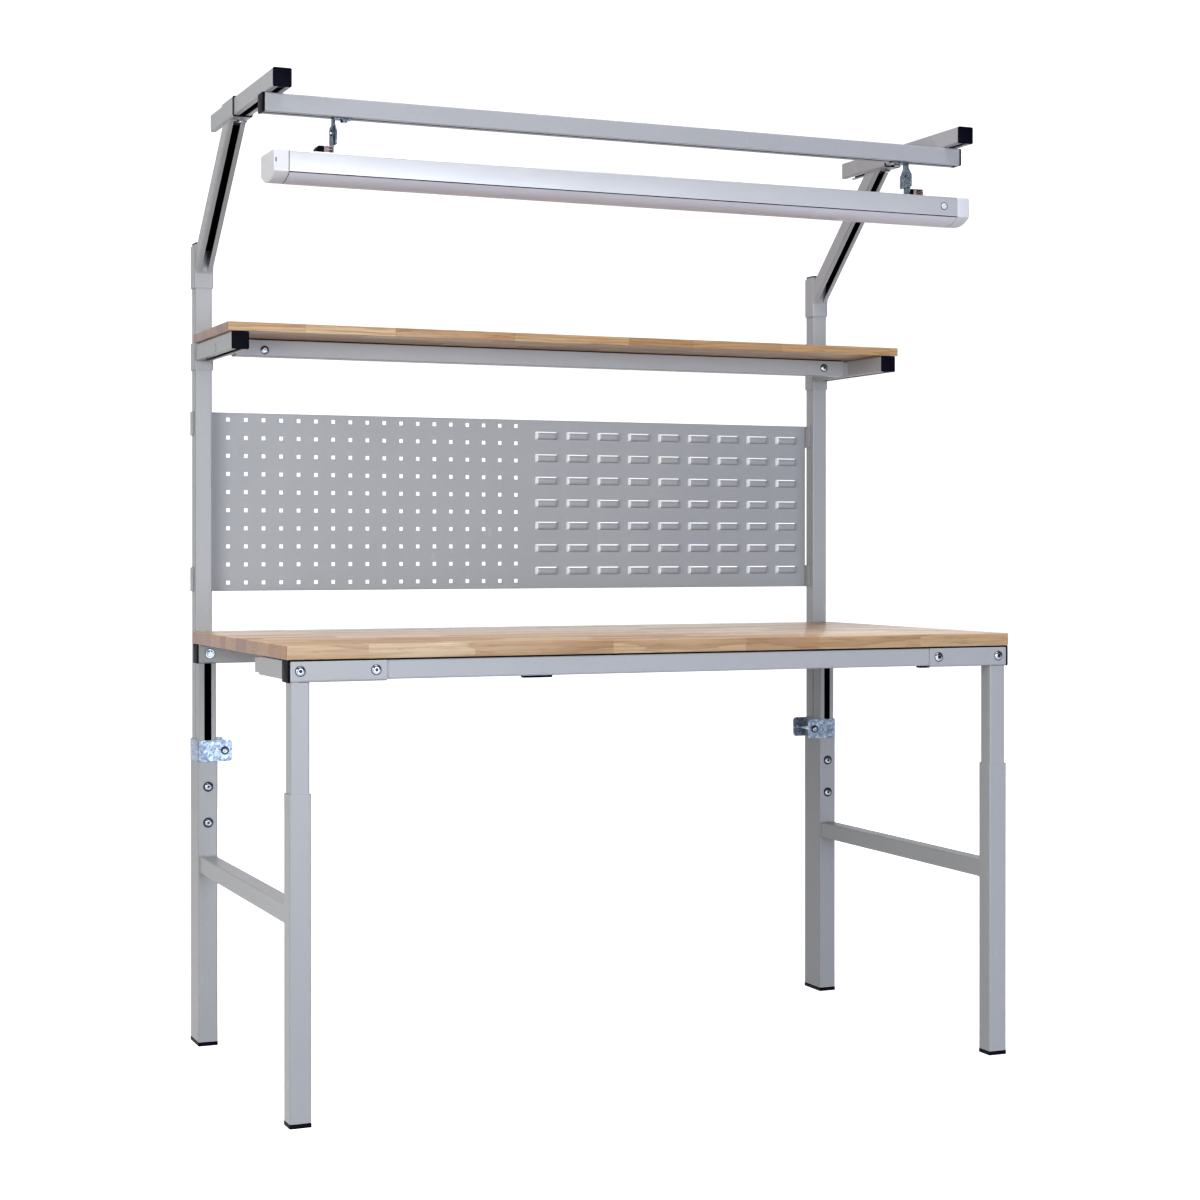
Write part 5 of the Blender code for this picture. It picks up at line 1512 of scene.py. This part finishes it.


# %% [markdown]
# ## Fittings on the frame
# Thin black strips lie between each board and its rail, where a dark line shows: a painted shadow of the gap
# under the board.
# A button-head bolt has a washer a little wider than itself, dark steel darkened further as a
# painted shadow round the head. Those on the front brackets and on the fronts of the rear legs
# also have a dark disc in the mouth of the socket, because light hardly reaches in there. A
# hexagon bolt sits below each head sleeve.

# %% Black strips between the boards and their rails, painting the shadow of the gap
STRIP_TOP = 0.8281
STRIP_LOW = 0.8248
STRIP_WIDTH = 0.006
STRIP_END = 0.7440
STRIP_SIDE = 0.7385
STRIP_ROUND = (0.0005, 0.0002)
bracket_low, bracket_high = corners("corner_bracket_front_left")
bracket_front = bracket_low[1] + BOLT_HEAD_HEIGHT + 0.0001
bracket_inner = abs(bracket_high[0])
rail_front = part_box("front_rail")[0][1] + 0.0006


def front_strip(axis, near, far, front, back):
    """One strip from front to back, between two distances from the middle."""
    return slab_shell(axis, (near, front, STRIP_LOW), (far, back, STRIP_TOP), *STRIP_ROUND)


strips = [front_strip("X", -bracket_inner, bracket_inner, rail_front, rail_front + STRIP_WIDTH)]
for sign in SIDES.values():
    near, far = sorted((sign * bracket_inner, sign * STRIP_END))
    strips.append(front_strip("X", near, far, bracket_front, bracket_front + STRIP_WIDTH))
    near, far = sorted((sign * STRIP_SIDE, sign * STRIP_END))
    strips.append(front_strip("Y", near, far, bracket_front, bracket_low[1] + SLEEVE))
finish_piece("worktop_gap_shadow_strips", strips, black_plastic, "bench")
shelf_line_low = (shelf_rail_low[0] + 0.004, shelf_rail_low[1] + 0.0002, shelf_rail_high[2] - 0.0022)
shelf_line_high = (shelf_rail_high[0] - 0.004, shelf_rail_low[1] + STRIP_WIDTH, shelf_rail_high[2] + 0.0004)
shelf_strip = slab_shell("X", shelf_line_low, shelf_line_high, *STRIP_ROUND)
finish_piece("shelf_gap_shadow_strip", [shelf_strip], black_plastic, "shelf")

# %% Bolts under the head sleeves
ARM_BOLT_BACK = 0.022
head_bolts = []
for head_low, head_high in head_boxes.values():
    place = ((head_low[0] + head_high[0]) / 2, head_low[1] + ARM_BOLT_BACK, head_low[2])
    head_bolts.append(hex_head(place, "-Z", flat=0.0055, height=0.0060, washer=0.0080, length=0.001))
finish_piece("head_sleeve_bolts", head_bolts, bright_steel, "light_arms")

# %% Bolts on the bench frame
FRONT_BOLTS = (0.7255, 0.5855)
REAR_BOLTS = (0.722, 0.600)
FRONT_SOCKET = 0.0037
bolt_z = (bracket_low[2] + bracket_high[2]) / 2
bracket_face = bracket_low[1] + BOLT_HEAD_HEIGHT
rear_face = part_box("corner_bracket_rear_left")[0][1]
bench_bolts = []
bolt_rings = []
for sign in SIDES.values():
    for x in FRONT_BOLTS:
        place = (sign * x, bracket_face, bolt_z)
        bench_bolts.append(button_head(place, "-Y", socket=FRONT_SOCKET))
        bolt_rings.append(socket_shade_disc(place, "-Y", socket=FRONT_SOCKET))
        bolt_rings.append(flat_ring(place, "-Y", 0.0084, 0.0097, 0.0005))
    for x in REAR_BOLTS:
        place = (sign * x, rear_face, bolt_z)
        bench_bolts.append(hex_head(place, "-Y"))
        bolt_rings.append(flat_ring(place, "-Y", 0.0094, 0.0106, 0.0008))
finish_piece("bench_frame_bolts", bench_bolts, bright_steel, "bench")
# The washers share their piece with the discs of painted shade in the sockets.
finish_piece("bench_bolt_washers_and_socket_shade", bolt_rings, washer_and_shade_steel, "bench")

# %% Lock bolts in the legs
LOCK_HEIGHTS = {"upper": 0.534, "lower": 0.460}
for side in SIDES:
    for level in LOCK_HEIGHTS:
        node = f"lock_bolt_{level}_{side}"
        low, high = corners(node)
        leg_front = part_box(f"outer_leg_rear_{side}")[0][1]
        middle = (low + high) / 2
        place = (middle[0], leg_front, middle[2])
        reach = high[1] - leg_front
        head = button_head(place, "-Y", radius=0.0080, height=0.0038, socket=0.0034, length=reach)
        nut = turned_shell((middle[0], high[1], middle[2]), "+Y", [
            (0.0105, -0.004), (0.0115, -0.0035), (0.0115, -0.0005), (0.0105, 0.0),
        ])
        finish_piece(f"{node}_turned", [head, nut], bright_steel, "stand", [node])
        washer = turned_shell(place, "-Y", [
            (0.0085, 0.0), (0.0104, 0.0), (0.0106, 0.0004), (0.0102, 0.0010),
            (0.0085, 0.0011),
        ])
        # A disc of painted shade in the socket goes with the washer.
        painted_socket_shade = socket_shade_disc(place, "-Y", height=0.0038, socket=0.0034)
        finish_piece(f"{node}_washer", [washer, painted_socket_shade], washer_and_shade_steel, "stand")

# %% Lock bolts at the back of the front legs
for side in SIDES:
    leg_low, leg_high = corners(f"outer_leg_front_{side}")
    middle_x = (leg_low[0] + leg_high[0]) / 2
    heads = []
    rings = []
    for height in LOCK_HEIGHTS.values():
        place = (middle_x, leg_high[1], height)
        heads.append(button_head(place, "+Y", radius=0.0080, height=0.0038, socket=0.0028))
        rings.append(flat_ring(place, "+Y", 0.0076, 0.0106, 0.0011))
    finish_piece(f"front_leg_bolts_{side}", heads, bright_steel, "stand")
    finish_piece(f"front_leg_washers_{side}", rings, washer_and_shade_steel, "stand")

# %% Bolts through the ears of the clamps
EAR_BOLT_X = 0.6905
for side, sign in SIDES.items():
    low, high = corners(f"clamp_{side}")
    ear_z = (low[2] + high[2]) / 2
    front_place = (sign * EAR_BOLT_X, low[1], ear_z)
    rear_place = (sign * EAR_BOLT_X, high[1], ear_z)
    reach = high[1] - low[1]
    head = button_head(front_place, "-Y", radius=0.0068, height=0.0048, socket=0.0030, length=reach)
    nut = hex_head(rear_place, "+Y", flat=0.0065, height=0.0045, washer=0.0085, length=0.002)
    finish_piece(f"clamp_bolt_{side}", [head, nut], bright_steel, "stand")
    ring = flat_ring(front_place, "-Y", 0.0060, 0.0086, 0.0014)
    finish_piece(f"clamp_washer_{side}", [ring], washer_and_shade_steel, "stand")

# %% Bolts of the shelf rail and plugs in its carriers
SHELF_BOLTS = ((-0.638, 1.4256), (0.647, 1.4300))
POST_X = 0.725
ARM_GAP = (0.1783, 1.4250), 0.0086, 0.0003
ARM_PIN = (0.2483, 1.4100), 0.0013, 0.0003
ARM_PLUG = (0.1775, 1.4252), 0.0083, 0.0009

heads = []
rings = []
for x, z in SHELF_BOLTS:
    place = (x, shelf_rail_low[1], z)
    heads.append(button_head(place, "-Y", radius=0.0078, height=0.0030, socket=0.0024))
    rings.append(flat_ring(place, "-Y", 0.0074, 0.0090, 0.0006))
finish_piece("shelf_rail_bolts", heads, bright_steel, "shelf")
finish_piece("shelf_rail_washers", rings, washer_and_shade_steel, "shelf")


def round_plug(sign, place, radius, height):
    """A disc on the outer face of a shelf arm, its rim rounding over from its side to its face."""
    outer_face = sign * (POST_X + TUBE / 2)
    return turned_shell((outer_face, *place), "+X" if sign > 0 else "-X", [
        (radius, -0.001), (radius, height * 0.5), (radius * 0.94, height),
        (radius * 0.5, height),
    ])


# Behind each plug a near-black disc paints the shadow in the gap round it, and a small one paints the shade
# inside a pin hole.
for side, sign in SIDES.items():
    holes = [round_plug(sign, *ARM_GAP), round_plug(sign, *ARM_PIN)]
    finish_piece(f"shelf_arm_hole_shade_{side}", holes, hollow_shade_material, "shelf")
    finish_piece(f"shelf_arm_plug_{side}", [round_plug(sign, *ARM_PLUG)], frame_coat, "shelf")

# %% Black glides under the front rail
GLIDE_ENDS = ((-0.298, -0.241), (0.550, 0.572))
front_rail_low, front_rail_high = corners("front_rail")
glide_y = (front_rail_low[1] + front_rail_high[1]) / 2
glides = []
for start, end in GLIDE_ENDS:
    glide_low = (start, glide_y - 0.009, front_rail_low[2] - 0.0045)
    glide_high = (end, glide_y + 0.009, front_rail_low[2] + 0.001)
    glides.append(slab_shell("Z", glide_low, glide_high, 0.002, 0.0005))
finish_piece("front_rail_glides", glides, black_plastic, "bench")
print("bolts so far:", sum("bolt" in p.name for p in PIECES))

# %% [markdown]
# ## Hangers and the lamp
# The lamp hangs on two upright plates below the light rail and tilts on a pin. Its body is one
# sheet folded to a channel with a round-backed opal lens below, closed by moulded caps. All of
# them are outlines carried along X, with the outline's corners replaced by arcs.


# %% Plates with a thickness
CLOSED_STEPS = 5


def inset_outline(outline, distance):
    """Each corner moved inwards along the bisector of its two sides."""
    before = outline - np.roll(outline, 1, axis=0)
    after = np.roll(outline, -1, axis=0) - outline
    before /= np.linalg.norm(before, axis=1)[:, None]
    after /= np.linalg.norm(after, axis=1)[:, None]
    normal = np.stack([-before[:, 1] - after[:, 1], before[:, 0] + after[:, 0]], axis=1)
    normal /= np.linalg.norm(normal, axis=1)[:, None]
    half = np.sqrt(np.clip((1.0 + np.sum(before * after, axis=1)) / 2.0, 0.05, 1.0))
    return outline + normal * (distance / half)[:, None]


def plate_shell(axis, outline, middle, start, end, rim):
    """An outline carried through a plate's thickness, its rims rounded; anticlockwise outlines only."""
    rings = [
        place_ring(axis, inset_outline(outline, inset), middle, along)
        for inset, along in rim_plan(start, end, rim)
    ]
    return capped_stack(rings)


def closed_bends(points, radius):
    """bent_line for a closed outline: it starts and ends in the middle of its first side."""
    points = np.asarray(points, float)
    middle = (points[0] + points[1]) / 2
    looped = np.concatenate([[middle], points[1:], points[:1], [middle]])
    return bent_line(looped, radius, CLOSED_STEPS)[:-1]


# %% Hanger plates, tabs and bolts
rail_low, rail_high = corners("light_rail")
RAIL_Y = (rail_low[1] + rail_high[1]) / 2
RAIL_UNDER = rail_low[2]
STRAP = 0.0025
PIVOT_Z = 1.7987
HANGER_TOP = RAIL_UNDER - 0.0003
LAMP_SHIFT = 0.0075
HANGER_SPREAD = 0.618
BRACKET_GAP = 0.0003
BRACKET_FOOT = 0.040
TAB_SIZE = (0.036, 0.020)
SLOT_BOLT_BACK = 0.022


def hanger_outline():
    """Half outline (neck, shoulder, hip, foot) and its mirror image."""
    half = np.array([
        (0.0225, HANGER_TOP - 0.052), (0.0225, HANGER_TOP - 0.027),
        (0.010, HANGER_TOP - 0.012), (0.010, HANGER_TOP),
    ])
    mirror = half[::-1] * np.array([-1.0, 1.0])
    return closed_bends(np.concatenate([half, mirror]), 0.003)


for side, sign in SIDES.items():
    node = f"hanger_{side}"
    outer = LAMP_SHIFT + sign * HANGER_SPREAD
    inner = outer - sign * STRAP
    plate = plate_shell("X", hanger_outline(), (RAIL_Y, 0.0), min(outer, inner), max(outer, inner), 0.0004)
    tab_middle = (outer - sign * TAB_SIZE[0] / 2, RAIL_Y)
    tab_box = box_at("Z", tab_middle, TAB_SIZE, HANGER_TOP - STRAP, HANGER_TOP)
    tab = slab_shell("Z", *tab_box, 0.002, 0.0004)
    finish_piece(f"{node}_plate", [plate, tab], dull_zinc, "hangers", [node])
    bolt_x = outer - sign * SLOT_BOLT_BACK
    head_place = (bolt_x, RAIL_Y, HANGER_TOP - STRAP)
    head = hex_head(head_place, "-Z", flat=0.006, height=0.004, washer=0.0085, length=0.008)
    nut = turned_shell((bolt_x, RAIL_Y, RAIL_UNDER + 0.0023), "+Z", [
        (0.0120, 0.0), (0.0128, 0.0006), (0.0128, 0.0034), (0.0120, 0.0040),
    ])
    pin = turned_shell((outer + sign * 0.0035, RAIL_Y, PIVOT_Z), "+X" if sign > 0 else "-X", [
        (0.003, -0.006), (0.003, -0.0005), (0.0062, -0.0005), (0.0066, 0.0003),
        (0.0056, 0.0022), (0.0030, 0.0028),
    ])
    finish_piece(f"{node}_fixings", [head, nut, pin], bright_steel, "hangers")

# %% Lamp brackets
lamp_low, lamp_high = corners("lamp_housing")
LAMP_TOP = lamp_high[2]
for side, sign in SIDES.items():
    node = f"lamp_bracket_{side}"
    low, high = corners(node)
    inner = LAMP_SHIFT + sign * HANGER_SPREAD + sign * (BRACKET_GAP + STRAP / 2)
    foot = low[2] + STRAP / 2
    foot_end = inner + sign * (BRACKET_FOOT - STRAP / 2)
    line = bent_line([(inner, high[2]), (inner, foot), (foot_end, foot)], 0.0028)
    angle = upright_strap(line, STRAP, low[1], high[1], 0.004)
    finish_piece(f"{node}_angle", [angle], dull_zinc, "lamp", [node])
print("lamp top at z", round(float(LAMP_TOP), 4))

# %% Spring clips that hold the lamp to its brackets
CLIP_FOOT_Z = LAMP_TOP + STRAP
CLIP_TOP_Z = CLIP_FOOT_Z + 0.0148
CLIP_HALF = 0.013
CLIP_SHEET = 0.0016
CLIP_BLOCKS = {"left": (-0.6450, -0.6300), "right": (0.6262, 0.6354)}
CLIP_SPRINGS = {"left": (-0.6292, -0.6124), "right": (0.6362, 0.6580)}
for side in SIDES:
    start, end = CLIP_BLOCKS[side]
    block_outline = closed_bends([
        (start, CLIP_FOOT_Z), (end, CLIP_FOOT_Z), (end, CLIP_TOP_Z), (start + 0.0045, CLIP_TOP_Z),
        (start, CLIP_FOOT_Z + 0.0080),
    ], 0.0012)
    block = plate_shell("Y", block_outline, (0.0, 0.0), RAIL_Y - CLIP_HALF, RAIL_Y + CLIP_HALF, 0.0008)
    finish_piece(f"lamp_clip_block_{side}", [block], black_plastic, "lamp")
    start, end = CLIP_SPRINGS[side]
    spring_line = bent_line([
        (start, CLIP_FOOT_Z + 0.0002), (start, CLIP_TOP_Z - 0.0008), (end, CLIP_TOP_Z - 0.0008),
        (end, CLIP_FOOT_Z + 0.0002),
    ], 0.0018)
    spring = upright_strap(spring_line, CLIP_SHEET, RAIL_Y - CLIP_HALF, RAIL_Y + CLIP_HALF, 0.001)
    cross_line = np.array([(start, CLIP_FOOT_Z + 0.0085), (end, CLIP_FOOT_Z + 0.0085)])
    cross = upright_strap(cross_line, CLIP_SHEET, RAIL_Y - CLIP_HALF, RAIL_Y + CLIP_HALF, 0.001)
    finish_piece(f"lamp_clip_spring_{side}", [spring, cross], brown_steel, "lamp")


# %% Lamp body, lens and caps
LAMP_HALF = 0.047
LAMP_LINE_Z = lamp_low[2]
BODY_HEIGHT = LAMP_TOP - LAMP_LINE_Z
LAMP_SHEET = 0.0012
LAMP_BEND = 0.0045
LENS_DEPTH = 0.0155
LENS_WALL = 0.0015
LENS_POINTS = 33
SUPPORT_RING = 0.0002


def lens_curve(half, depth, count=LENS_POINTS):
    """An arc through both rims and the lowest point: radius (half^2 + depth^2) / (2 depth)."""
    radius = (half * half + depth * depth) / (2 * depth)
    sweep = math.asin(half / radius)
    t = np.linspace(sweep, -sweep, count)
    return np.stack([radius * np.sin(t), radius - depth - radius * np.cos(t)], axis=1)


def channel_outline(half, height, sheet, bend):
    """The folded channel: up one side, over the top and down the other, then back inside."""
    outer = bent_line([(half, 0.0), (half, height), (-half, height), (-half, 0.0)], bend, 7)
    side, top = half - sheet, height - sheet
    inner = bent_line([(-side, 0.0), (-side, top), (side, top), (side, 0.0)], bend - sheet, 7)
    return np.concatenate([outer, inner])


def straight_sweep(outline, middle, start, end):
    """A closed outline between two places along X, with a support ring next to each end."""
    places = (start, start + SUPPORT_RING, end - SUPPORT_RING, end)
    return capped_stack([place_ring("X", outline, middle, along) for along in places])


lamp_middle = (RAIL_Y, LAMP_LINE_Z)
channel = channel_outline(LAMP_HALF, BODY_HEIGHT, LAMP_SHEET, LAMP_BEND)
body = straight_sweep(channel, lamp_middle, lamp_low[0], lamp_high[0])
finish_piece("lamp_body_channel", [body], silver_enamel, "lamp", ["lamp_housing"])
lens_low, lens_high = corners("lamp_diffuser")
lens_inside = lens_curve(LAMP_HALF - LENS_WALL, LENS_DEPTH - LENS_WALL)[::-1]
lens_outline = np.concatenate([lens_curve(LAMP_HALF, LENS_DEPTH), lens_inside])
lens = straight_sweep(lens_outline, (RAIL_Y, lens_high[2]), lens_low[0], lens_high[0])
finish_piece("lamp_opal_lens", [lens], lens_plastic, "lamp", ["lamp_diffuser"])


def cap_curve():
    """The whole end of the lamp: lens arc below, upright sides and round shoulders above."""
    arc = lens_curve(LAMP_HALF, LENS_DEPTH, 25)[::-1]
    top = [(LAMP_HALF, BODY_HEIGHT), (-LAMP_HALF, BODY_HEIGHT)]
    shoulders = bent_line([(LAMP_HALF, 0.0), *top, (-LAMP_HALF, 0.0)], LAMP_BEND, 7)
    return np.concatenate([arc, shoulders[1:-1]])


CAP_OUTLINE = cap_curve()
CAP_INSIDE = inset_outline(CAP_OUTLINE, 0.002)
CAP_ROUND = 0.0028

for side, sign in SIDES.items():
    node = f"lamp_cap_{side}"
    low, high = corners(node)
    face, rim = (high[0], low[0]) if sign > 0 else (low[0], high[0])
    plan = [(CAP_INSIDE, face - sign * 0.002), (CAP_INSIDE, rim)]
    for inset, along in rim_plan(rim, face, CAP_ROUND)[RIM_STEPS - 1:]:
        plan.append((inset_outline(CAP_OUTLINE, inset), along))
    shell = capped_stack([place_ring("X", outline, lamp_middle, along) for outline, along in plan])
    finish_piece(f"{node}_moulded", [shell], white_plastic, "lamp", [node])

# %% A dark line between body and lens, painted shadow of their joint, and the screws in the lamp's front
shadow_line_low = (lens_low[0], RAIL_Y - LAMP_HALF - 0.0002, LAMP_LINE_Z - 0.0011)
shadow_line_high = (lens_high[0], RAIL_Y + LAMP_HALF + 0.0002, LAMP_LINE_Z + 0.0008)
finish_piece("lamp_lens_shadow_line", [slab_shell("X", shadow_line_low, shadow_line_high, 0.0004, 0.0002)], black_plastic, "lamp")
lamp_front = RAIL_Y - LAMP_HALF
screw_z = LAMP_LINE_Z + BODY_HEIGHT / 2
SCREW_X = 0.688
screw = pan_screw((SCREW_X, lamp_front, screw_z), "-Y", radius=0.0070, height=0.0016)
finish_piece("lamp_body_screw", [screw], white_plastic, "lamp")
screw_ring = flat_ring((SCREW_X, lamp_front, screw_z), "-Y", 0.0066, 0.0082, 0.0004)
finish_piece("lamp_screw_ring", [screw_ring], dull_zinc, "lamp")
# A near-black slab on the front of the left cap paints the shade inside a slot.
slot_low = (lamp_low[0] - 0.0270, lamp_front - 0.0002, screw_z - 0.004)
slot_high = (lamp_low[0] - 0.0250, lamp_front + 0.001, screw_z + 0.004)
finish_piece("lamp_cap_slot_shade", [slab_shell("Y", slot_low, slot_high, 0.0008, 0.0001)], hollow_shade_material, "lamp")

# %% Materials for the tray and the tube inside the lamp
for name, material in (("lamp_gear_tray", silver_enamel), ("lamp_tube", tube_glass)):
    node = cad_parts[name]
    node.data.materials.clear()
    node.data.materials.append(material)
print("lamp runs from", lamp_low[0].round(4), "to", lamp_high[0].round(4))

# %% Count the pieces made
print("pieces made:", len(PIECES) + 1)
